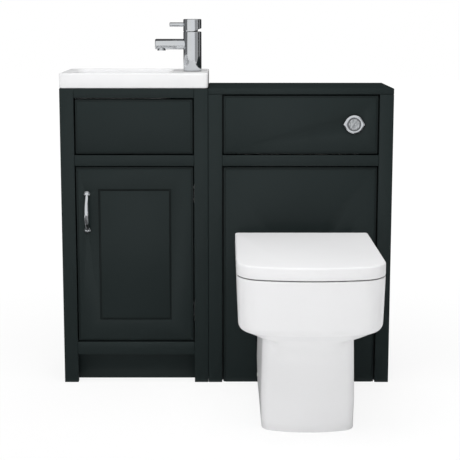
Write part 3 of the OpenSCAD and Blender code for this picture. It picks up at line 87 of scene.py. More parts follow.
# %% [markdown]
# A studio for white ware is a white room. Camera rays, and the rays that metal and glass send out, see a
# white ground, while the light that reaches the object stays plain and soft, so that a colour renders as it
# is written.

# %% World
WHITE = (1.0, 1.0, 1.0, 1.0)
ROOM_LIGHT = 0.32

world = bpy.data.worlds.new("white_room")
bpy.context.scene.world = world
world.use_nodes = True
bpy.context.scene.view_settings.view_transform = "Standard"


def seen_directly(tree):
    """One where a camera, glossy or transmission ray asks, else nought."""
    path = tree.nodes.new("ShaderNodeLightPath")
    total = None
    for name in ("Is Camera Ray", "Is Glossy Ray", "Is Transmission Ray"):
        if total is None:
            total = path.outputs[name]
            continue
        adder = tree.nodes.new("ShaderNodeMath")
        adder.operation = "MAXIMUM"
        tree.links.new(total, adder.inputs[0])
        tree.links.new(path.outputs[name], adder.inputs[1])
        total = adder.outputs[0]
    return total


def build_world(tree):
    tree.nodes.clear()
    out = tree.nodes.new("ShaderNodeOutputWorld")
    mix = tree.nodes.new("ShaderNodeMixShader")
    room = tree.nodes.new("ShaderNodeBackground")
    room.inputs["Color"].default_value = WHITE
    room.inputs["Strength"].default_value = ROOM_LIGHT
    white = tree.nodes.new("ShaderNodeBackground")
    white.inputs["Color"].default_value = WHITE
    white.inputs["Strength"].default_value = 1.0
    tree.links.new(seen_directly(tree), mix.inputs["Fac"])
    tree.links.new(room.outputs[0], mix.inputs[1])
    tree.links.new(white.outputs[0], mix.inputs[2])
    tree.links.new(mix.outputs[0], out.inputs["Surface"])


build_world(world.node_tree)
print("room light", ROOM_LIGHT)

# %% [markdown]
# The largest lamp hangs almost overhead and lights the level surfaces, so that the shadow under the bowl
# stays soft. A second stands low behind the camera and lights the upright fronts evenly. Two weak ones fill
# the sides, and one behind serves the views from there.

# %% Lamps
def soft_lamp(name, place, aim, size, power):
    """A square lamp with a side in metres and a power in watts."""
    data = bpy.data.lights.new(name, "AREA")
    data.shape = "SQUARE"
    data.size = size
    data.energy = power
    lamp = bpy.data.objects.new(name, data)
    lamp.location = place
    lamp.rotation_mode = "QUATERNION"
    lamp.rotation_quaternion = (Vector(aim) - Vector(place)).to_track_quat("-Z", "Y")
    lamp.visible_glossy = False
    bpy.context.scene.collection.objects.link(lamp)
    print(name, "watts", power)


soft_lamp("high_lamp", (-0.2, -0.9, 3.4), (0.0, 0.0, 0.4), 2.4, 68.0)
soft_lamp("front_lamp", (-0.3, -3.6, 0.9), (0.0, 0.0, 0.4), 1.6, 27.0)
soft_lamp("left_lamp", (-3.0, -1.0, 1.2), (0.0, 0.1, 0.4), 1.3, 8.0)
soft_lamp("right_lamp", (3.0, -1.2, 1.9), (0.0, 0.1, 0.5), 1.6, 9.0)
soft_lamp("back_lamp", (0.6, 3.4, 2.4), (0.0, 0.3, 0.5), 1.8, 24.0)

# %% [markdown]
# Chrome has no look of its own and needs something to reflect. A photographer hangs black and grey cloths
# round a tap to draw its edges, and a white one in front gives the bright stripe. These sheets do the same,
# and only mirror-like surfaces see them. The upright ones span arcs round the suite, counted in degrees
# from the front towards the right. Three lie on the floor in front and darken what faces down, such as the
# lower half of the bow handle, and one hangs over the suite.

# %% Cloths for the chrome
CLOTH_AWAY = 2.5
CLOTH_TOP = 2.2
CLOTH_BLUE = 1.02
SUITE_MIDDLE_Y = 0.24
FLOOR_CLOTH_HALF = 1.6
FLOOR_CLOTH_Z = 0.004
OVER_HALF = 3.0


def hang_cloth(name, corners, grey):
    bm = bmesh.new()
    bmesh.ops.contextual_create(bm, geom=[bm.verts.new(corner) for corner in corners])
    mesh = bpy.data.meshes.new(name)
    bm.to_mesh(mesh)
    bm.free()
    cloth = bpy.data.objects.new(name, mesh)
    bpy.context.scene.collection.objects.link(cloth)
    made = bpy.data.materials.new(name)
    made.use_nodes = True
    tree = made.node_tree
    glow = tree.nodes.new("ShaderNodeEmission")
    glow.inputs["Color"].default_value = (grey, grey, grey * CLOTH_BLUE, 1.0)
    tree.links.new(glow.outputs[0], tree.nodes["Material Output"].inputs["Surface"])
    mesh.materials.append(made)
    cloth.visible_camera = False
    cloth.visible_diffuse = False
    cloth.visible_transmission = False
    cloth.visible_shadow = False


def upright_cloth(name, start, end, grey):
    """A sheet that stands on the floor from one direction to another."""
    ends = []
    for turn in (start, end):
        a = math.radians(turn)
        ends.append((CLOTH_AWAY * math.sin(a), SUITE_MIDDLE_Y - CLOTH_AWAY * math.cos(a)))
    (x0, y0), (x1, y1) = ends
    hang_cloth(name, ((x0, y0, 0.0), (x1, y1, 0.0), (x1, y1, CLOTH_TOP), (x0, y0, CLOTH_TOP)), grey)


def floor_cloth(name, front, back, grey):
    """A sheet just over the floor, from one y to another."""
    half = FLOOR_CLOTH_HALF
    z = FLOOR_CLOTH_Z
    hang_cloth(name, ((-half, front, z), (half, front, z), (half, back, z), (-half, back, z)), grey)


upright_cloth("cloth_left", -122, -68, 0.22)
upright_cloth("cloth_front", -14, 30, 1.0)
upright_cloth("cloth_front_right", 30, 74, 0.42)
upright_cloth("cloth_right_edge", 76, 94, 0.05)
upright_cloth("cloth_right", 94, 114, 0.3)
upright_cloth("cloth_behind_right", 114, 150, 0.04)
upright_cloth("cloth_behind", 150, 202, 0.04)
upright_cloth("cloth_behind_left", 202, 238, 0.04)
floor_cloth("cloth_floor_near", -0.14, 0.12, 0.02)
floor_cloth("cloth_floor_middle", -0.5, -0.14, 0.13)
floor_cloth("cloth_floor_far", -1.3, -0.5, 0.28)
hang_cloth("cloth_over", ((-OVER_HALF, -0.1, 3.1), (OVER_HALF, -0.1, 3.1), (OVER_HALF, 2.9, CLOTH_TOP),
                          (-OVER_HALF, 2.9, CLOTH_TOP)), 0.09)
print("cloths stand at", CLOTH_AWAY, "m")

# %% [markdown]
# Every finish is a small node tree on object coordinates: one noise for slow changes of colour, one for the
# gloss, and a fine one for the bump. One helper builds it, and each finish names its own numbers. A finish
# may also carry painted shade: its colour is darkened in narrow gaps, where little light gets in.

# %% Finish helper
NOISE_MIDDLE = (0.3, 0.7)
GAP_RAYS = 6
GAP_OPENNESS = (0.25, 0.9)
FLOOR_FADE = (0.01, 0.05)
GLOSS_PATCHES = 5


def linear(*srgb):
    """A colour picked as 0 to 255 screen values, as the shader wants it."""
    parts = [v / 255 for v in srgb]
    return tuple(p / 12.92 if p <= 0.04045 else ((p + 0.055) / 1.055) ** 2.4 for p in parts) + (1.0,)


def noise_on(tree, scale, stretch, detail=3.0):
    """A noise on object coordinates, stretched along the axes."""
    coordinates = tree.nodes.new("ShaderNodeTexCoord")
    mapping = tree.nodes.new("ShaderNodeMapping")
    mapping.inputs["Scale"].default_value = stretch
    noise = tree.nodes.new("ShaderNodeTexNoise")
    noise.inputs["Scale"].default_value = scale
    noise.inputs["Detail"].default_value = detail
    tree.links.new(coordinates.outputs["Object"], mapping.inputs["Vector"])
    tree.links.new(mapping.outputs["Vector"], noise.inputs["Vector"])
    return noise.outputs["Fac"]


def map_range(tree, source, source_range, result_range=(0.0, 1.0), steps="LINEAR"):
    """Turns one range of values into another, and stops at its ends."""
    ranged = tree.nodes.new("ShaderNodeMapRange")
    ranged.interpolation_type = steps
    ranged.inputs["From Min"].default_value = source_range[0]
    ranged.inputs["From Max"].default_value = source_range[1]
    ranged.inputs["To Min"].default_value = result_range[0]
    ranged.inputs["To Max"].default_value = result_range[1]
    tree.links.new(source, ranged.inputs["Value"])
    return ranged.outputs["Result"]


def spread_colour(tree, source, dark, light):
    """Turns the middle of a noise into a range of colours."""
    ramp = tree.nodes.new("ShaderNodeValToRGB")
    for element, position, colour in zip(ramp.color_ramp.elements, NOISE_MIDDLE, (dark, light)):
        element.position = position
        element.color = colour
    tree.links.new(source, ramp.inputs["Fac"])
    return ramp.outputs["Color"]


def painted_gap_shade(tree, colour, reach, shade):
    """The colour with painted shade: darker where other surfaces stand closer than the reach, but not next to the
    floor.
    """
    near = tree.nodes.new("ShaderNodeAmbientOcclusion")
    near.samples = GAP_RAYS
    near.inputs["Distance"].default_value = reach
    coordinates = tree.nodes.new("ShaderNodeTexCoord")
    split = tree.nodes.new("ShaderNodeSeparateXYZ")
    tree.links.new(coordinates.outputs["Object"], split.inputs[0])
    mixed = tree.nodes.new("ShaderNodeMix")
    mixed.data_type = "RGBA"
    mixed.blend_type = "MULTIPLY"
    tree.links.new(map_range(tree, split.outputs["Z"], FLOOR_FADE), mixed.inputs["Factor"])
    tree.links.new(colour, mixed.inputs["A"])
    tree.links.new(map_range(tree, near.outputs["AO"], GAP_OPENNESS, (shade, 1.0)), mixed.inputs["B"])
    return mixed.outputs["Result"]


def finish(name, dark, light, rough, patch=6.0, grain=700.0, depth=0.03 * MM, stretch=(1, 1, 1), metal=0.0,
           specular=0.5, coat=0.0, coat_rough=0.05, gaps=None):
    """A finish between two colours and two roughnesses. Gaps hold the reach and the darkness of its painted gap
    shade.
    """
    made = bpy.data.materials.new(name)
    made.use_nodes = True
    tree = made.node_tree
    shader = tree.nodes["Principled BSDF"]
    shader.inputs["Metallic"].default_value = metal
    shader.inputs["Specular IOR Level"].default_value = specular
    shader.inputs["Coat Weight"].default_value = coat
    shader.inputs["Coat Roughness"].default_value = coat_rough
    colour = spread_colour(tree, noise_on(tree, patch, stretch), dark, light)
    # Painted shade: the colour grows darker where other surfaces stand close.
    if gaps:
        colour = painted_gap_shade(tree, colour, *gaps)
    tree.links.new(colour, shader.inputs["Base Color"])
    gloss = noise_on(tree, patch * GLOSS_PATCHES, stretch, 4.0)
    tree.links.new(map_range(tree, gloss, NOISE_MIDDLE, rough), shader.inputs["Roughness"])
    bump = tree.nodes.new("ShaderNodeBump")
    bump.inputs["Strength"].default_value = 1.0
    bump.inputs["Distance"].default_value = depth
    tree.links.new(noise_on(tree, grain, stretch, 2.0), bump.inputs["Height"])
    tree.links.new(bump.outputs["Normal"], shader.inputs["Normal"])
    return made


# %% [markdown]
# The cabinets are painted board: a dark grey with a little green and blue, in a satin paint whose fine
# grain only shows close up. The china is a plain white under a clear glaze, which is a coat over a slightly
# rough body. The mouldings are a glossy white, the fittings chrome, and what hides inside is plain board,
# wood, plated steel, brass, moulded plastic and rubber. The wood strips behind the gaps round the door and
# the panels are coloured black as painted shade, so that the gaps stay dark.

# %% Finishes
wood_grain = {"patch": 14.0, "grain": 260.0, "depth": 0.2 * MM, "stretch": (6, 6, 0.5)}
# The gap settings below are painted shade in the colour of the paint, china, seat and chrome.
china_gap_shade = (8 * MM, 0.15)
chrome_gap_shade = (4 * MM, 0.03)

paint = finish("satin_paint", linear(34, 41, 41), linear(37, 44, 44), (0.42, 0.52), patch=3.0, grain=900.0,
               depth=0.02 * MM, stretch=(1, 1, 0.35), specular=0.0, coat=0.15, coat_rough=0.3,
               gaps=(7.5 * MM, 0.06))
carcass = finish("faced_board", linear(44, 47, 47), linear(50, 53, 53), (0.55, 0.65), grain=500.0,
                 specular=0.3)
deal = finish("planed_wood", linear(176, 140, 98), linear(206, 174, 130), (0.6, 0.75), **wood_grain)
# Painted shade: the strips seen through the gaps are black so that the gaps stay as dark as shade.
black_stain = finish("black_stain", linear(14, 15, 15), linear(20, 21, 21), (0.6, 0.75), **wood_grain)
china_glaze = finish("china_glaze", linear(238, 238, 239), linear(241, 241, 242), (0.14, 0.22), patch=2.0,
                     grain=14.0, depth=0.06 * MM, specular=0.0, coat=0.4, gaps=china_gap_shade)
seat_gloss = finish("seat_gloss", linear(240, 240, 241), linear(243, 243, 244), (0.3, 0.4), patch=3.0,
                    grain=30.0, depth=0.01 * MM, specular=0.0, coat=0.15, gaps=china_gap_shade)
chrome = finish("polished_chrome", linear(198, 201, 204), linear(206, 209, 211), (0.05, 0.11), patch=12.0,
                grain=60.0, depth=0.004 * MM, metal=1.0, gaps=chrome_gap_shade)
brushed = finish("brushed_chrome", linear(120, 124, 126), linear(214, 217, 218), (0.3, 0.45), patch=260.0,
                 grain=900.0, depth=0.01 * MM, stretch=(1.4, 1, 0.5), metal=1.0, gaps=chrome_gap_shade)
plated = finish("plated_steel", linear(170, 171, 172), linear(196, 196, 196), (0.28, 0.42), patch=25.0,
                grain=900.0, depth=0.01 * MM, metal=1.0)
brass = finish("turned_brass", linear(196, 158, 84), linear(214, 178, 102), (0.24, 0.36), patch=30.0,
               grain=900.0, depth=0.01 * MM, stretch=(1, 1, 8), metal=1.0)
moulding = finish("moulded_plastic", linear(222, 222, 216), linear(230, 230, 225), (0.38, 0.5), patch=8.0,
                  grain=600.0, depth=0.02 * MM)
rubber = finish("black_rubber", linear(38, 38, 38), linear(50, 50, 50), (0.6, 0.8), grain=400.0,
                depth=0.08 * MM, specular=0.3)

finish_of_slot = {
    "cabinet_paint": paint, "carcass_board": carcass, "plain_wood": deal, "china": china_glaze,
    "seat_plastic": seat_gloss, "chrome": chrome, "steel": plated, "brass": brass,
    "white_plastic": moulding, "rubber": rubber,
}
for name, obj in nodes.items():
    obj.data.materials.clear()
    obj.data.materials.append(finish_of_slot[slot_of[name]])
print("finishes", len(finish_of_slot))

# %% [markdown]
# A new piece is a bmesh turned into an object at the origin, so that its place is in its mesh. It rides on
# the body of the node that it stands for, takes the finish of that node's slot unless another is given, and
# is shaded smooth except over sharp edges.

# %% Piece helper
def object_of(bm, name):
    """A bmesh as an object, with its faces turned outwards."""
    mesh = bpy.data.meshes.new(name)
    bmesh.ops.recalc_face_normals(bm, faces=bm.faces)
    bm.to_mesh(mesh)
    bm.free()
    made = bpy.data.objects.new(name, mesh)
    bpy.context.scene.collection.objects.link(made)
    return made


def make_piece(name, bm, stands_for, sharp=35.0, look=None):
    piece = object_of(bm, name)
    mesh = piece.data
    mesh.polygons.foreach_set("use_smooth", [True] * len(mesh.polygons))
    mesh.set_sharp_from_angle(angle=math.radians(sharp))
    mesh.materials.append(look or finish_of_slot[slot_of[stands_for]])
    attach(piece, body_of[stands_for])
    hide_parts(stands_for)
    print(name, "faces", len(mesh.polygons))
    return piece


# %% [markdown]
# Real boards have eased edges, and the thin light line along them tells the eye that they are solid. A copy
# of the node's loose triangles is merged, its flat faces are joined again, and its sharp edges are
# bevelled. The same small bevel also draws the joint lines between stiles and rails, and the door and the
# panels have the widest one.

# %% Eased edges
EDGE_TURN = math.radians(40)
FLAT_TURN = math.radians(0.5)


def eased_copy(node, width, segments=2, look=None):
    """Stands a copy of a node in its place, with edges eased by a width in millimetres."""
    bm = bmesh.new()
    bm.from_mesh(nodes[node].data)
    bmesh.ops.remove_doubles(bm, verts=bm.verts, dist=0.01 * MM)
    bmesh.ops.dissolve_limit(bm, angle_limit=FLAT_TURN, verts=bm.verts, edges=bm.edges)
    edges = [e for e in bm.edges if len(e.link_faces) == 2 and e.calc_face_angle(0.0) > EDGE_TURN]
    bmesh.ops.bevel(bm, geom=edges, offset=width * MM, offset_type="OFFSET", affect="EDGES",
                    segments=segments, profile=0.5, material=-1, clamp_overlap=True)
    make_piece(node + "_eased", bm, node, look=look)


for node in ("side_panels", "stiles", "face_rails", "plinth", "worktop"):
    eased_copy(node, 1.3)
for node in ("drawer_panel", "upper_panel", "lower_panel", "door"):
    eased_copy(node, 1.6)
for node in ("vanity_base", "back_boards", "shelf"):
    eased_copy(node, 0.6, segments=1)
# The strips seen through the gaps take the black of painted shade.
for node in ("panel_battens", "hinge_packers", "door_stops"):
    eased_copy(node, 0.6, segments=1, look=black_stain)
for node in ("cistern_tank", "cistern_lid"):
    eased_copy(node, 1.2)
for node in ("hinge_arms", "hinge_plates", "flush_crank", "seat_hinges", "pan_fixings"):
    eased_copy(node, 0.4, segments=1)

# %% [markdown]
# China is cast in moulds, so each form is a stack of outlines that flow into one another. A circle is
# extruded edge by edge, and each new ring is moved to the next outline. Every outline has the same number
# of points, so the faces stay in neat rows. A rounded edge is a few outlines along a quarter circle.

# %% Loft helper
def loft(outlines, cap_start=True, closed=False):
    """Rings of (x, y, z) points joined in order."""
    bm = bmesh.new()
    step = bm.verts.layers.int.new("step")
    first = bmesh.ops.create_circle(bm, segments=len(outlines[0]), radius=1.0)["verts"]
    for i, vert in enumerate(first):
        vert[step] = i
        vert.co = outlines[0][i]
    first_edges = bm.edges[:]
    edges = first_edges
    for outline in outlines[1:]:
        made = bmesh.ops.extrude_edge_only(bm, edges=edges)["geom"]
        ring = {g for g in made if isinstance(g, bmesh.types.BMVert)}
        edges = [g for g in made if isinstance(g, bmesh.types.BMEdge) and set(g.verts) <= ring]
        for vert in ring:
            vert.co = outline[vert[step]]
    if closed:
        bmesh.ops.bridge_loops(bm, edges=first_edges + edges)
        return bm
    if cap_start:
        bmesh.ops.contextual_create(bm, geom=first_edges)
    bmesh.ops.contextual_create(bm, geom=edges)
    return bm


def quarter_round(radius, turns):
    """How far each ring of a rounded edge lies from the flat and from the side, at 0 degrees on the side."""
    angles = [math.radians(turn) for turn in turns]
    return [(radius * (1 - math.sin(a)), radius * (1 - math.cos(a))) for a in angles]


def on_arc(cx, cy, radius, start, end, steps):
    """Points on an arc in degrees, with both ends."""
    turns = [math.radians(start + (end - start) * i / steps) for i in range(steps + 1)]
    return [(cx + radius * math.cos(t), cy + radius * math.sin(t)) for t in turns]


def between(a, b, steps):
    """Points inside a straight run, without its ends."""
    return [(a[0] + (b[0] - a[0]) * i / steps, a[1] + (b[1] - a[1]) * i / steps) for i in range(1, steps)]


# %% [markdown]
# The pan, its seat and its lid share one plan: straight sides, two round front corners and a shallow front
# curve. The plan is worked out from its half width, its back and front, its corner and its front radius, so
# that it can be drawn in or out evenly.

# %% Plan of the pan
lid_low, lid_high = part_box("lid")
pan_low, pan_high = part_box("pan")
face_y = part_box("lower_panel")[0].y
WC_X = (lid_low.x + lid_high.x) / 2
HALF = (lid_high.x - lid_low.x) / 2
FRONT = pan_low.y
CORNER = 70 * MM
BOW = 580 * MM
OVAL_POWER = 2.6


def square_plan(half, back, front, corner, bow, back_corner, z):
    """Closed outline, from the middle of the back round by the right side."""
    across = half - corner
    along = front + bow - math.sqrt((bow - corner) ** 2 - across ** 2)
    turn = math.degrees(math.atan2(along - (front + bow), across))
    right = between((0.0, back), (half - back_corner, back), 6)
    right += on_arc(half - back_corner, back - back_corner, back_corner, 90, 0, 5)
    right += between((half, back - back_corner), (half, along), 8)
    right += on_arc(across, along, corner, 0, turn, 14)
    right += on_arc(0.0, front + bow, bow, turn, -90, 12)[1:-1]
    left = [(-x, y) for x, y in reversed(right)]
    points = [(0.0, back)] + right + [(0.0, front)] + left
    return [Vector((WC_X + x, y, z)) for x, y in points]


def oval_inside(plan, half_w, half_l, middle_y, z):
    """A squarish oval with one point for each point of a plan, in the same direction from its middle."""
    points = []
    for p in plan:
        turn = math.atan2(p.y - middle_y, p.x - WC_X)
        c = abs(math.cos(turn))
        s = abs(math.sin(turn))
        reach = ((c / half_w) ** OVAL_POWER + (s / half_l) ** OVAL_POWER) ** (-1 / OVAL_POWER)
        points.append(Vector((WC_X + reach * math.cos(turn), middle_y + reach * math.sin(turn), z)))
    return points


print("pan front", round(FRONT, 4), "half width", round(HALF, 4))

# %% [markdown]
# The pan stands on a narrow foot. The bowl turns under on a small radius and then slopes in at one angle
# until it meets the foot, which is lower at the front than at the sides, since the foot stands further back
# there. A soft fillet joins the two, narrow at the sides and wide at the front. The rings run up the
# outside, over the rim and down into the bowl. Solidify then gives the skin the thickness of cast china,
# and leaves the foot hollow as the real one is.

# %% Pan
RIM = pan_high.z
RIM_WIDTH = 46 * MM
CAST_WALL = 9 * MM
BACK_CORNER = 2 * MM
FOOT_FRONT = FRONT + 109 * MM
FOOT_BOW = 300 * MM
FOOT_CORNER = 32 * MM
FOOT_LOW = 120 * MM
FOOT_TOP = 225 * MM
WAIST = 76 * MM
# The next four are in millimetres, as foot_ring takes them.
WAIST_HALF = 116
WAIST_BACK = 2
NARROWING = 4
LEANING = 6
BELLY_Z = 288 * MM
BELLY_R = 22 * MM
BELLY_SLOPE = math.radians(27)
BELLY_TURN = math.pi / 2 - BELLY_SLOPE
BELLY_CORNER_SHARE = 0.3
SLOPE_START = 16 * MM
SLOPE_CORNER = 24 * MM
SIDE_DRAFT = 4 * MM
SIDE_INSET = 60 * MM
FRONT_INSET = 111 * MM
SIDE_FILLET = 10 * MM
FRONT_FILLET = 50 * MM
FILLET_SWELL = 0.7


def foot_ring(z, half, back):
    """The foot at a height, with its half width and how far its front stands back, in millimetres."""
    return square_plan(half * MM, face_y, FOOT_FRONT + back * MM, FOOT_CORNER, FOOT_BOW, BACK_CORNER, z * MM)


def foot_plan(z):
    """The foot narrows a little from its waist up to the bowl, and its front leans back."""
    rise = (z - WAIST) / (BELLY_Z - WAIST)
    return foot_ring(z / MM, WAIST_HALF - NARROWING * rise, WAIST_BACK + LEANING * rise)


def belly_ring(inset, z):
    """The bowl's outline, drawn in."""
    inset += SIDE_DRAFT
    corner = CORNER - inset * BELLY_CORNER_SHARE
    return square_plan(HALF - inset, face_y, FRONT + inset, corner, BOW - inset, BACK_CORNER, z)


def belly_turn(turn):
    a = math.radians(turn)
    return belly_ring(BELLY_R * (1 - math.cos(a)), BELLY_Z - BELLY_R * math.sin(a))


def slope_z(inset):
    """Height of the sloping underside at a distance in from the bowl's outline."""
    run = inset - BELLY_R * (1 - math.cos(BELLY_TURN))
    return BELLY_Z - BELLY_R * math.sin(BELLY_TURN) - run * math.tan(BELLY_SLOPE)


def under_inset(p):
    """How far in from the bowl's outline a spot lies, with the corner between side and front rounded."""
    across = abs(p.x - WC_X)
    side = HALF - SIDE_DRAFT - across
    front = p.y - (FRONT + SIDE_DRAFT + BOW - math.sqrt(BOW ** 2 - across ** 2))
    share = max(SLOPE_CORNER - abs(side - front), 0.0) / SLOPE_CORNER
    return min(side, front) - share * share * SLOPE_CORNER / 4


def on_slope(x, y):
    return Vector((x, y, slope_z(under_inset(Vector((x, y))))))


def under_rings():
    """From the upright foot through a soft fillet and up the sloping underside."""
    low = foot_plan(FOOT_LOW)
    high = foot_plan(FOOT_TOP)
    edge = belly_ring(SLOPE_START, slope_z(SLOPE_START))
    curves = []
    for foot, top, end in zip(low, high, edge):
        meet = on_slope(top.x, top.y)
        share = max((under_inset(top) - SIDE_INSET) / (FRONT_INSET - SIDE_INSET), 0.0)
        reach = SIDE_FILLET + (FRONT_FILLET - SIDE_FILLET) * share ** FILLET_SWELL
        start = foot.lerp(top, (meet.z - reach - FOOT_LOW) / (FOOT_TOP - FOOT_LOW))
        start.z = meet.z - reach
        away = Vector((end.x - meet.x, end.y - meet.y)).normalized() * reach * math.cos(BELLY_SLOPE)
        curves.append((start, meet, on_slope(meet.x + away.x, meet.y + away.y), end))
    rings = [foot_plan(z * MM) for z in (94, 108)] + [low]
    for t in (0.0, 0.2, 0.4, 0.6, 0.8, 1.0):
        rings.append([a * (1 - t) ** 2 + m * 2 * t * (1 - t) + b * t ** 2 for a, m, b, end in curves])
    for t in (0.2, 0.4, 0.6, 0.8):
        ring = []
        for a, m, b, end in curves:
            flat = b.lerp(end, t)
            spot = on_slope(flat.x, flat.y)
            spot.z += (end.z - on_slope(end.x, end.y).z) * t
            ring.append(spot)
        rings.append(ring)
    return rings + [edge]


def wall_ring(z, inset):
    """The bowl's outline above its belly, drawn in by millimetres."""
    inset *= MM
    return square_plan(HALF - inset, face_y, FRONT + inset, CORNER - inset, BOW, BACK_CORNER, z)


def pan_rings():
    rings = [foot_ring(z, half, back) for z, half, back in (
        (0.0, 113.3, 0.4), (0.8, 113.8, 0.0), (20.0, 114.5, 0.4), (76.0, 116.0, 2.0))]
    rings += under_rings()
    rings += [belly_turn(turn) for turn in (63, 54, 46, 38, 30, 22, 14, 6, 0)]
    rings += [wall_ring(z * MM, inset) for z, inset in ((300, 3.6), (320, 2.9), (350, 1.9), (380, 0.9),
                                                        (396, 0.4))]
    for down, inward in quarter_round(3.5, (0, 22.5, 45, 67.5, 90)):
        rings.append(wall_ring(RIM - down * MM, 0.3 + inward))
    rings.append(wall_ring(RIM, 14.0))
    plan = rings[-1]
    mouth_front = FRONT + RIM_WIDTH
    mouth_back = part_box("stiles")[0].y - 135 * MM
    middle_y = (mouth_front + mouth_back) / 2
    half_w = HALF - RIM_WIDTH
    half_l = middle_y - mouth_front
    for down, outward in quarter_round(6 * MM, (90, 60, 30, 0)):
        rings.append(oval_inside(plan, half_w + outward, half_l + outward, middle_y, RIM - down))
    bowl = ((380, 1, 1, 0), (324, 8, 10, 0), (280, 17, 24, 5), (230, 32, 42, 14), (180, 50, 62, 25),
            (130, 68, 84, 36), (100, 80, 98, 43), (86, 90, 112, 45), (81, 102, 128, 45))
    for z, in_w, in_l, shift in bowl:
        rings.append(oval_inside(plan, half_w - in_w * MM, half_l - in_l * MM, middle_y + shift * MM, z * MM))
    return rings


pan_piece = make_piece("pan_china", loft(pan_rings(), cap_start=False), "pan", sharp=60.0)
shell = pan_piece.modifiers.new("cast_wall", "SOLIDIFY")
shell.thickness = CAST_WALL
shell.offset = -1.0

# %% [markdown]
# The lid is a shallow cover with a round top edge and a skirt that hides the seat. It is open at the back,
# where only its top reaches behind the hinges. One loft makes the outside, another the room inside, and a
# boolean takes the room away. Two ears under it turn on the hinge pins.

# %% Lid
LID_BACK = lid_high.y
LID_TOP = lid_high.z
SKIRT = lid_low.z
AXIS_Y = frame["joints"][-1]["pos_m"][1]
AXIS_Z = frame["joints"][-1]["pos_m"][2]
EAR_WALL = 8 * MM
EAR_R = 8 * MM
EAR_FROM_POST = 12 * MM
PIN_HOLE = 4.05 * MM
PIN_CUT = 18 * MM


def combine(base, others, operation):
    """Applies booleans to a bmesh and returns a new one."""
    body = object_of(base, "work_body")
    tools = [object_of(other, "work_tool") for other in others]
    for tool in tools:
        cut = body.modifiers.new("cut", "BOOLEAN")
        cut.operation = operation
        cut.solver = "EXACT"
        cut.object = tool
    graph = bpy.context.evaluated_depsgraph_get()
    result = bmesh.new()
    result.from_mesh(body.evaluated_get(graph).to_mesh())
    for made in [body, *tools]:
        bpy.data.objects.remove(made)
    return result


def box_bm(x0, x1, y0, y1, z0, z1):
    bm = bmesh.new()
    place = Matrix.Translation(((x0 + x1) / 2, (y0 + y1) / 2, (z0 + z1) / 2))
    size = Matrix.Diagonal((x1 - x0, y1 - y0, z1 - z0, 1.0))
    bmesh.ops.create_cube(bm, size=1.0, matrix=place @ size)
    return bm


def rod_bm(start, axis, length, radius, segments):
    """A round bar from a start point along X or Z."""
    turn = {"X": Matrix.Rotation(math.pi / 2, 4, "Y"), "Z": Matrix.Identity(4)}[axis]
    bm = bmesh.new()
    bmesh.ops.create_cone(bm, cap_ends=True, segments=segments, radius1=radius, radius2=radius, depth=length,
                          matrix=Matrix.Translation(start) @ turn @ Matrix.Translation((0, 0, length / 2)))
    return bm


def lid_ring(z, inset):
    return square_plan(HALF - inset, LID_BACK - inset, FRONT + inset, CORNER - inset, BOW - inset, 5 * MM, z)


def lid_bm():
    edge = 4.5 * MM
    soft = 2.5 * MM
    wall = 5 * MM
    wide = 300 * MM
    rings = [lid_ring(SKIRT + up, inward) for up, inward in quarter_round(soft, (90, 60, 30, 0))]
    rings.append(lid_ring(LID_TOP - edge, 0.0))
    for down, inward in quarter_round(edge, (15, 30, 45, 60, 75, 90)):
        rings.append(lid_ring(LID_TOP - down, inward))
    room_rings = [square_plan(HALF - wall, LID_BACK + 8 * MM, FRONT + wall, CORNER - wall, BOW - wall,
                              1 * MM, z) for z in (SKIRT - 5 * MM, LID_TOP - wall)]
    under = box_bm(WC_X - wide, WC_X + wide, AXIS_Y - 2 * MM, LID_BACK + 6 * MM, SKIRT - 6 * MM,
                   AXIS_Z - 4 * MM)
    return combine(loft(rings), [loft(room_rings), under], "DIFFERENCE")


def ear_bm(x, end, up):
    """A hinge ear: a round eye with a web, which goes up to a height or forward to a depth."""
    x0 = x - EAR_WALL / 2
    x1 = x + EAR_WALL / 2
    eye = rod_bm((x0, AXIS_Y, AXIS_Z), "X", EAR_WALL, EAR_R, 40)
    if up:
        web = box_bm(x0, x1, AXIS_Y - EAR_R + 1 * MM, AXIS_Y + EAR_R - 1 * MM, AXIS_Z, end)
    else:
        web = box_bm(x0, x1, end, AXIS_Y, AXIS_Z - EAR_R + 2 * MM, AXIS_Z + EAR_R)
    return [eye, web]


def with_ears(base, places, end, up):
    """Joins ears to a cover or a ring, and bores them for the pins."""
    whole = combine(base, [part for x in places for part in ear_bm(x, end, up)], "UNION")
    holes = [rod_bm((x - PIN_CUT / 2, AXIS_Y, AXIS_Z), "X", PIN_CUT, PIN_HOLE, 32) for x in places]
    return combine(whole, holes, "DIFFERENCE")


def hinge_places():
    """The x of the two hinge posts."""
    low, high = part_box("seat_hinges")
    middle = (low.x + high.x) / 2
    half = (high.x - low.x) / 2 - 16 * MM
    return (middle - half, middle + half)


POSTS = hinge_places()
lid_ears = [x + side * EAR_FROM_POST for x, side in zip(POSTS, (-1, 1))]
seat_ears = [x - side * EAR_FROM_POST for x, side in zip(POSTS, (-1, 1))]
make_piece("lid_cover", with_ears(lid_bm(), lid_ears, LID_TOP - 4 * MM, True), "lid", sharp=50.0)

# %% [markdown]
# The seat is a ring with the same outside as the lid's inside, an oval mouth, and round edges all over. Its
# section is a loop of rings, from the outer side over the top to the mouth and back underneath.

# %% Seat
SEAT_Z0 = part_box("seat")[0].z
SEAT_Z1 = SEAT_Z0 + 16 * MM
SEAT_IN = 8 * MM
SEAT_WIDTH = 60 * MM
SEAT_BACK = AXIS_Y - 11 * MM


def seat_outside(z, inset):
    """The seat's outline, drawn in."""
    inward = SEAT_IN + inset
    return square_plan(HALF - inward, SEAT_BACK - inset, FRONT + inward, CORNER - inward, BOW - inward,
                       6 * MM, z)


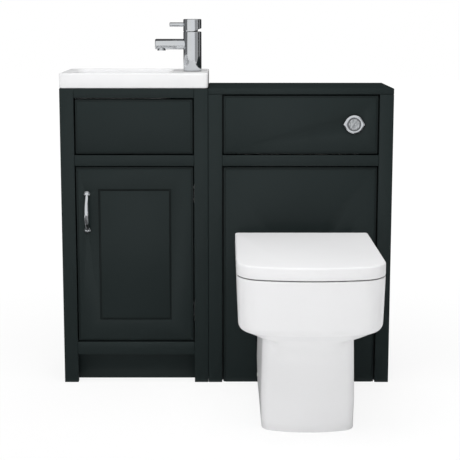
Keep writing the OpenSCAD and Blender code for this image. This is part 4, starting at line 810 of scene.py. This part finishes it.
def seat_ring_bm():
    mouth_front = FRONT + SEAT_IN + SEAT_WIDTH
    mouth_back = SEAT_BACK - SEAT_WIDTH
    middle_y = (mouth_front + mouth_back) / 2
    half_w = HALF - SEAT_IN - SEAT_WIDTH
    half_l = (mouth_back - mouth_front) / 2
    plan = seat_outside(SEAT_Z0, 0.0)

    def mouth(z, outward):
        return oval_inside(plan, half_w + outward, half_l + outward, middle_y, z)

    rings = [seat_outside(SEAT_Z0 + up, inward) for up, inward in quarter_round(2 * MM, (90, 60, 30, 0))]
    for down, inward in quarter_round(5 * MM, (0, 22.5, 45, 67.5, 90)):
        rings.append(seat_outside(SEAT_Z1 - down, inward))
    rings.append(seat_outside(SEAT_Z1, 12 * MM))
    for down, outward in quarter_round(7 * MM, (90, 67.5, 45, 22.5, 0)):
        rings.append(mouth(SEAT_Z1 - down, outward))
    rings += [mouth(SEAT_Z0 + up, outward) for up, outward in quarter_round(3 * MM, (0, 30, 60, 90))]
    return loft(rings, closed=True)


make_piece("seat_ring", with_ears(seat_ring_bm(), seat_ears, SEAT_BACK - 3 * MM, False), "seat", sharp=50.0)

# %% [markdown]
# The basin is one casting: a square-edged slab with a bowl sunk to the left and a flat deck to the right
# for the tap. The rings go from the underside of the slab over its edge, across the rim, down the bowl,
# through the waste hole and back up the underside of the bowl, which closes the form like a ring.

# %% Basin
basin_low, basin_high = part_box("basin")
waste_low, waste_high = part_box("waste_body")
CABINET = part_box("side_panels")[1].z
SLAB_CORNER = 7 * MM
BOWL_X = (waste_low.x + waste_high.x) / 2
BOWL_Y = (waste_low.y + waste_high.y) / 2
BOWL_HALF_L = 136 * MM
BOWL_HALF_W = 105 * MM
BOWL_FLOOR = basin_high.z - 100 * MM
BOWL_LIP = 6
BOWL_SLOPE = 0.2
LIP_IN = 1.5 * MM


def box_ring(x0, x1, y0, y1, corner, z):
    """A rectangle with round corners, from the back left corner clockwise as seen from above."""
    corners = ((x0 + corner, y1 - corner, 180), (x1 - corner, y1 - corner, 90),
               (x1 - corner, y0 + corner, 0), (x0 + corner, y0 + corner, -90))
    arcs = [on_arc(cx, cy, corner, start, start - 90, 8) for cx, cy, start in corners]
    points = []
    for arc, following in zip(arcs, arcs[1:] + arcs[:1]):
        points += arc + between(arc[-1], following[0], 6)
    return [Vector((x, y, z)) for x, y in points]


def slab_ring(z, inset):
    return box_ring(basin_low.x + inset, basin_high.x - inset, basin_low.y + inset, basin_high.y - inset,
                    SLAB_CORNER, z)


def bowl_ring(z, inset, corner=34):
    """The bowl's outline, drawn in, with a corner in millimetres."""
    return box_ring(BOWL_X - BOWL_HALF_L + inset, BOWL_X + BOWL_HALF_L - inset, BOWL_Y - BOWL_HALF_W + inset,
                    BOWL_Y + BOWL_HALF_W - inset, corner * MM, z)


def round_ring(plan, radius, z):
    """A circle with one point for each point of a plan, in the same direction from the waste."""
    points = []
    for p in plan:
        turn = math.atan2(p.y - BOWL_Y, p.x - BOWL_X)
        points.append(Vector((BOWL_X + radius * math.cos(turn), BOWL_Y + radius * math.sin(turn), z)))
    return points


def basin_rings():
    top = basin_high.z
    hole = 23 * MM
    round_floor = 34 * MM
    under = BOWL_FLOOR - 9 * MM
    rings = [slab_ring(CABINET + up, inward) for up, inward in quarter_round(3.5 * MM, (90, 60, 30, 0))]
    for down, inward in quarter_round(3 * MM, (0, 22.5, 45, 67.5, 90)):
        rings.append(slab_ring(top - down, inward))
    rings.append(slab_ring(top, 8 * MM))
    for down, outward in quarter_round(BOWL_LIP * MM, (90, 60, 30, 8)):
        rings.append(bowl_ring(top - down, LIP_IN - outward))
    for down in (15, 30, 45, 60, 72):
        rings.append(bowl_ring(top - down * MM, LIP_IN + (down - BOWL_LIP) * BOWL_SLOPE * MM))
    for down, inset, corner in ((82, 19, 40), (90, 25, 44), (96, 34, 46), (99, 46, 40), (100, 60, 30)):
        rings.append(bowl_ring(top - down * MM, inset * MM, corner))
    plan = rings[-1]
    for radius, z in ((round_floor, BOWL_FLOOR), (hole, BOWL_FLOOR), (hole, under), (round_floor, under)):
        rings.append(round_ring(plan, radius, z))
    for down, inset, corner in ((109, 50, 36), (106, 34, 46), (98, 20, 46), (84, 10, 40), (60, 3, 36),
                                (42.5, -1, 34)):
        rings.append(bowl_ring(top - down * MM, inset * MM, corner))
    rings.append(bowl_ring(CABINET, -3 * MM))
    return rings


make_piece("basin_china", loft(basin_rings(), closed=True), "basin", sharp=50.0)

# %% [markdown]
# The bow handle is a bar bent to one arc between two turned feet. The bar is an oval section spun about the
# arc's centre, a little thicker in the middle. Each foot is a short turned disc with a bead.

# %% Bow handle
handle_low, handle_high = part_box("door_handle")
DOOR_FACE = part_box("door")[0].y
HANDLE_X = (handle_low.x + handle_high.x) / 2
HANDLE_Z = (handle_low.z + handle_high.z) / 2
HANDLE_HALF = 50 * MM
BAR_IN = 5.7 * MM
BAR_HALF_WIDE = 5.3 * MM
BAR_HALF_DEEP = 4.6 * MM
BAR_END_SHARE = 0.92
BAR_SWELL = 0.2


def bow_bm():
    rise = DOOR_FACE - handle_low.y - BAR_IN
    radius = (HANDLE_HALF ** 2 + rise ** 2) / (2 * rise)
    centre_y = DOOR_FACE - rise + radius
    reach = math.asin(HANDLE_HALF / radius)
    start = Vector((HANDLE_X, centre_y - radius * math.cos(reach), HANDLE_Z - radius * math.sin(reach)))
    section = Matrix.Diagonal((BAR_HALF_WIDE, BAR_HALF_DEEP, 1, 1))
    bm = bmesh.new()
    bmesh.ops.create_circle(bm, segments=24, radius=1.0,
                            matrix=Matrix.Translation(start) @ Matrix.Rotation(reach, 4, "X") @ section)
    bmesh.ops.spin(bm, geom=bm.verts[:] + bm.edges[:], cent=(HANDLE_X, centre_y, HANDLE_Z), axis=(-1, 0, 0),
                   angle=2 * reach, steps=40, use_merge=False, use_duplicate=False)
    for vert in bm.verts:
        near_middle = max(1 - ((vert.co.z - HANDLE_Z) / HANDLE_HALF) ** 2, 0.0)
        vert.co.x = HANDLE_X + (vert.co.x - HANDLE_X) * (BAR_END_SHARE + BAR_SWELL * near_middle)
    ends = [e for e in bm.edges if e.is_boundary]
    bmesh.ops.holes_fill(bm, edges=ends, sides=0)
    return bm


def turned_bm(profile, origin, axis, segments=48):
    """A turned shape: a profile of (distance along the axis, radius) pairs spun once round."""
    along = {"X": Vector((1, 0, 0)), "Y": Vector((0, 1, 0)), "Z": Vector((0, 0, 1))}[axis]
    across = Vector((0, 0, 1)) if axis != "Z" else Vector((1, 0, 0))
    bm = bmesh.new()
    verts = [bm.verts.new(Vector(origin) + along * a + across * r) for a, r in profile]
    edges = [bm.edges.new(pair) for pair in zip(verts, verts[1:])]
    bmesh.ops.spin(bm, geom=verts + edges, cent=origin, axis=along, angle=2 * math.pi, steps=segments,
                   use_merge=True, use_duplicate=False)
    bmesh.ops.remove_doubles(bm, verts=bm.verts, dist=0.005 * MM)
    return bm


def handle_foot_bm(z):
    profile = ((0.0, 0.0), (0.0, 8.4), (1.2, 8.4), (1.8, 8.0), (2.2, 7.2), (3.4, 7.0), (4.6, 6.4), (5.6, 5.2),
               (6.2, 3.6), (6.4, 0.0))
    return turned_bm([(-a * MM, r * MM) for a, r in profile], (HANDLE_X, DOOR_FACE, z), "Y", 40)


def joined(parts):
    """One bmesh that holds several shells."""
    whole = bmesh.new()
    for part in parts:
        mesh = bpy.data.meshes.new("part")
        bmesh.ops.recalc_face_normals(part, faces=part.faces)
        part.to_mesh(mesh)
        part.free()
        whole.from_mesh(mesh)
        bpy.data.meshes.remove(mesh)
    return whole


handle_parts = [bow_bm(), handle_foot_bm(HANDLE_Z - HANDLE_HALF), handle_foot_bm(HANDLE_Z + HANDLE_HALF)]
make_piece("bow_handle", joined(handle_parts), "door_handle", sharp=50.0)

# %% [markdown]
# The tap is turned from bar: an upright body with a round spout let into its side, a cap that carries a
# thin lever, and a nozzle under the spout's end. Turned profiles give the small chamfers and the shadow
# line between the body and the cap. The nozzle is a solid of its own and stays as it is.

# %% Tap
tap_low, tap_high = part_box("tap_body")
cap_low, cap_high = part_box("tap_cap")
lever_low, lever_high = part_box("tap_lever")
DECK = tap_low.z
TAP_X = (cap_low.x + cap_high.x) / 2
TAP_Y = (cap_low.y + cap_high.y) / 2
TAP_R = 25 * MM
SOCKET_R = 17.7 * MM
SPOUT_R = 14.5 * MM
SPOUT_Z = DECK + 74.5 * MM
LEVER_R = 5.8 * MM
CAP_TILT = math.radians(20)


def tap_body_bm():
    height = tap_high.z - DECK
    floor = height - 4 * MM
    column = turned_bm([(0, 0), (0, TAP_R - 1.2 * MM), (1.0 * MM, TAP_R - 1.2 * MM),
                        (1.2 * MM, TAP_R - 0.4 * MM), (1.8 * MM, TAP_R), (height - 1.6 * MM, TAP_R),
                        (height - 0.5 * MM, TAP_R - 0.6 * MM), (height, TAP_R - 1.6 * MM), (height, SOCKET_R),
                        (floor, SOCKET_R), (floor, 0)], (TAP_X, TAP_Y, DECK), "Z", 96)
    end = tap_low.x
    length = TAP_X - end - 6 * MM
    spout = turned_bm([(0, 0), (0, SPOUT_R - 2.2 * MM), (0.7 * MM, SPOUT_R - 0.9 * MM), (2.2 * MM, SPOUT_R),
                       (length, SPOUT_R), (length, 0)], (end, TAP_Y, SPOUT_Z), "X", 72)
    return combine(column, [spout], "UNION")


def cap_bm():
    """The cap, hollow below and cut away at a slope on the right, where it dips when the lever is lifted."""
    height = cap_high.z - cap_low.z
    full = turned_bm([(0, 0), (0, TAP_R - 1.2 * MM), (0.4 * MM, TAP_R - 0.4 * MM), (1.2 * MM, TAP_R),
                      (height - 2.2 * MM, TAP_R), (height - 0.8 * MM, TAP_R - 0.5 * MM),
                      (height - 0.1 * MM, TAP_R - 1.8 * MM), (height, TAP_R - 3.2 * MM),
                      (height - 0.4 * MM, 0)], (TAP_X, TAP_Y, cap_low.z), "Z", 96)
    room = rod_bm((TAP_X, TAP_Y, cap_low.z - 1 * MM), "Z", 16 * MM, 16.5 * MM, 48)
    slope = box_bm(-5.8 * MM, 50 * MM, -30 * MM, 30 * MM, -26 * MM, -5.8 * MM)
    pin = Matrix.Translation((TAP_X, TAP_Y, cap_low.z + 6 * MM))
    slope.transform(pin @ Matrix.Rotation(-CAP_TILT, 4, "Y"))
    return combine(full, [room, slope], "DIFFERENCE")


def lever_bm():
    length = TAP_X - TAP_R - lever_low.x + 6 * MM
    return turned_bm([(0, 0), (0, LEVER_R - 1.4 * MM), (0.5 * MM, LEVER_R - 0.5 * MM), (1.4 * MM, LEVER_R),
                      (length, LEVER_R), (length, 0)],
                     (lever_low.x, TAP_Y, (lever_low.z + lever_high.z) / 2), "X", 40)


make_piece("tap_column", tap_body_bm(), "tap_body")
make_piece("tap_turning_cap", cap_bm(), "tap_cap")
make_piece("tap_lever_rod", lever_bm(), "tap_lever")

# %% [markdown]
# The flush button sits in a round bezel that draws out to a point on each side. The bezel is an outline of
# arcs and tangents, lofted and rounded over. The button has a shallow dish, and a dark gap runs round it.

# %% Flush button
bezel_low, bezel_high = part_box("button_bezel")
button_low, button_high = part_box("flush_button")
BUTTON_X = (bezel_low.x + bezel_high.x) / 2
BUTTON_Z = (button_low.z + button_high.z) / 2
PANEL_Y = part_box("upper_panel")[0].y
BEZEL_R = 26 * MM
BEZEL_HALF = (bezel_high.x - bezel_low.x) / 2
BEZEL_BLUNT = 0.4 * MM
BUTTON_R = 15.25 * MM
BUTTON_DEEP = 28 * MM
STEM_R = 5 * MM


def pointed_plan():
    """The bezel's outline round its middle, as (x, z) points."""
    touch = math.degrees(math.acos(BEZEL_R / BEZEL_HALF))
    quarter = on_arc(0, 0, BEZEL_R, touch, 90, 12)
    right = [(BEZEL_HALF - BEZEL_BLUNT, 0.0)] + between((BEZEL_HALF, 0.0), quarter[0], 4) + quarter
    points = right + [(-x, z) for x, z in reversed(right[:-1])]
    return points + [(x, -z) for x, z in reversed(points[1:-1])]


def on_panel(points, out):
    """Points round the button's middle, a few millimetres out from the panel."""
    return [Vector((BUTTON_X + x, PANEL_Y - out * MM, BUTTON_Z + z)) for x, z in points]


def bezel_bm():
    """The pointed outline shrinks as it comes out, and a round hole goes back in."""
    plan = pointed_plan()
    turns = [math.atan2(z, x) for x, z in plan]
    outside = ((1.0, 0.0), (1.0, 1.0), (0.985, 2.2), (0.95, 3.4), (0.9, 4.3), (0.84, 4.9), (0.78, 5.0))
    inside = ((18.6, 4.9), (18.0, 4.3), (17.8, 1.0), (15.4, 1.0), (15.4, -12), (21.4, -12), (21.5, 0.0))
    rings = []
    for scale, out in outside:
        rings.append(on_panel([(x * scale, z * scale) for x, z in plan], out))
    for bore, out in inside:
        rings.append(on_panel([(bore * MM * math.cos(t), bore * MM * math.sin(t)) for t in turns], out))
    return loft(rings, closed=True)


def button_bm():
    length = button_high.y - button_low.y
    dish = ((0.9, 0.0), (0.75, 4.0), (0.45, 8.0), (0.1, 12.0), (0.0, 13.6), (0.25, 14.7))
    profile = [(a * MM, r * MM) for a, r in dish]
    profile += [(1.0 * MM, BUTTON_R), (BUTTON_DEEP, BUTTON_R), (BUTTON_DEEP, STEM_R), (length, STEM_R),
                (length, 0)]
    print("button stands out", round(PANEL_Y - button_low.y, 4))
    return turned_bm(profile, (BUTTON_X, button_low.y, BUTTON_Z), "Y", 72)


make_piece("pointed_bezel", bezel_bm(), "button_bezel", sharp=60.0)
make_piece("dished_button", button_bm(), "flush_button", sharp=50.0, look=brushed)

# %% [markdown]
# The ground is one large pale sheet. Where the camera or a mirror-like surface looks at it, most of its
# light is plain white, and all of it further out, so that it meets the white room without an edge and still
# holds the object's shadow.

# %% Floor
FLOOR_HALF = 14.0
FLOOR_GLOW = 1.03
NEAR_AND_FAR = (0.7, 2.2)
SHARE_OF_WHITE = (0.82, 1.0)


def build_floor():
    bm = bmesh.new()
    bmesh.ops.create_grid(bm, x_segments=1, y_segments=1, size=FLOOR_HALF)
    mesh = bpy.data.meshes.new("studio_floor")
    bm.to_mesh(mesh)
    bm.free()
    floor = bpy.data.objects.new("studio_floor", mesh)
    bpy.context.scene.collection.objects.link(floor)
    made = bpy.data.materials.new("pale_floor")
    made.use_nodes = True
    tree = made.node_tree
    shader = tree.nodes["Principled BSDF"]
    shader.inputs["Base Color"].default_value = (0.95, 0.95, 0.95, 1.0)
    shader.inputs["Roughness"].default_value = 0.9
    shader.inputs["Specular IOR Level"].default_value = 0.0
    glow = tree.nodes.new("ShaderNodeEmission")
    glow.inputs["Color"].default_value = WHITE
    glow.inputs["Strength"].default_value = FLOOR_GLOW
    coordinates = tree.nodes.new("ShaderNodeTexCoord")
    away = tree.nodes.new("ShaderNodeVectorMath")
    away.operation = "LENGTH"
    tree.links.new(coordinates.outputs["Object"], away.inputs[0])
    outwards = map_range(tree, away.outputs["Value"], NEAR_AND_FAR, SHARE_OF_WHITE, "SMOOTHSTEP")
    share = tree.nodes.new("ShaderNodeMath")
    share.operation = "MULTIPLY"
    tree.links.new(seen_directly(tree), share.inputs[0])
    tree.links.new(outwards, share.inputs[1])
    mix = tree.nodes.new("ShaderNodeMixShader")
    tree.links.new(share.outputs[0], mix.inputs["Fac"])
    tree.links.new(shader.outputs[0], mix.inputs[1])
    tree.links.new(glow.outputs[0], mix.inputs[2])
    tree.links.new(mix.outputs[0], tree.nodes["Material Output"].inputs["Surface"])
    mesh.materials.append(made)


build_floor()
print("floor reaches", FLOOR_HALF, "m")
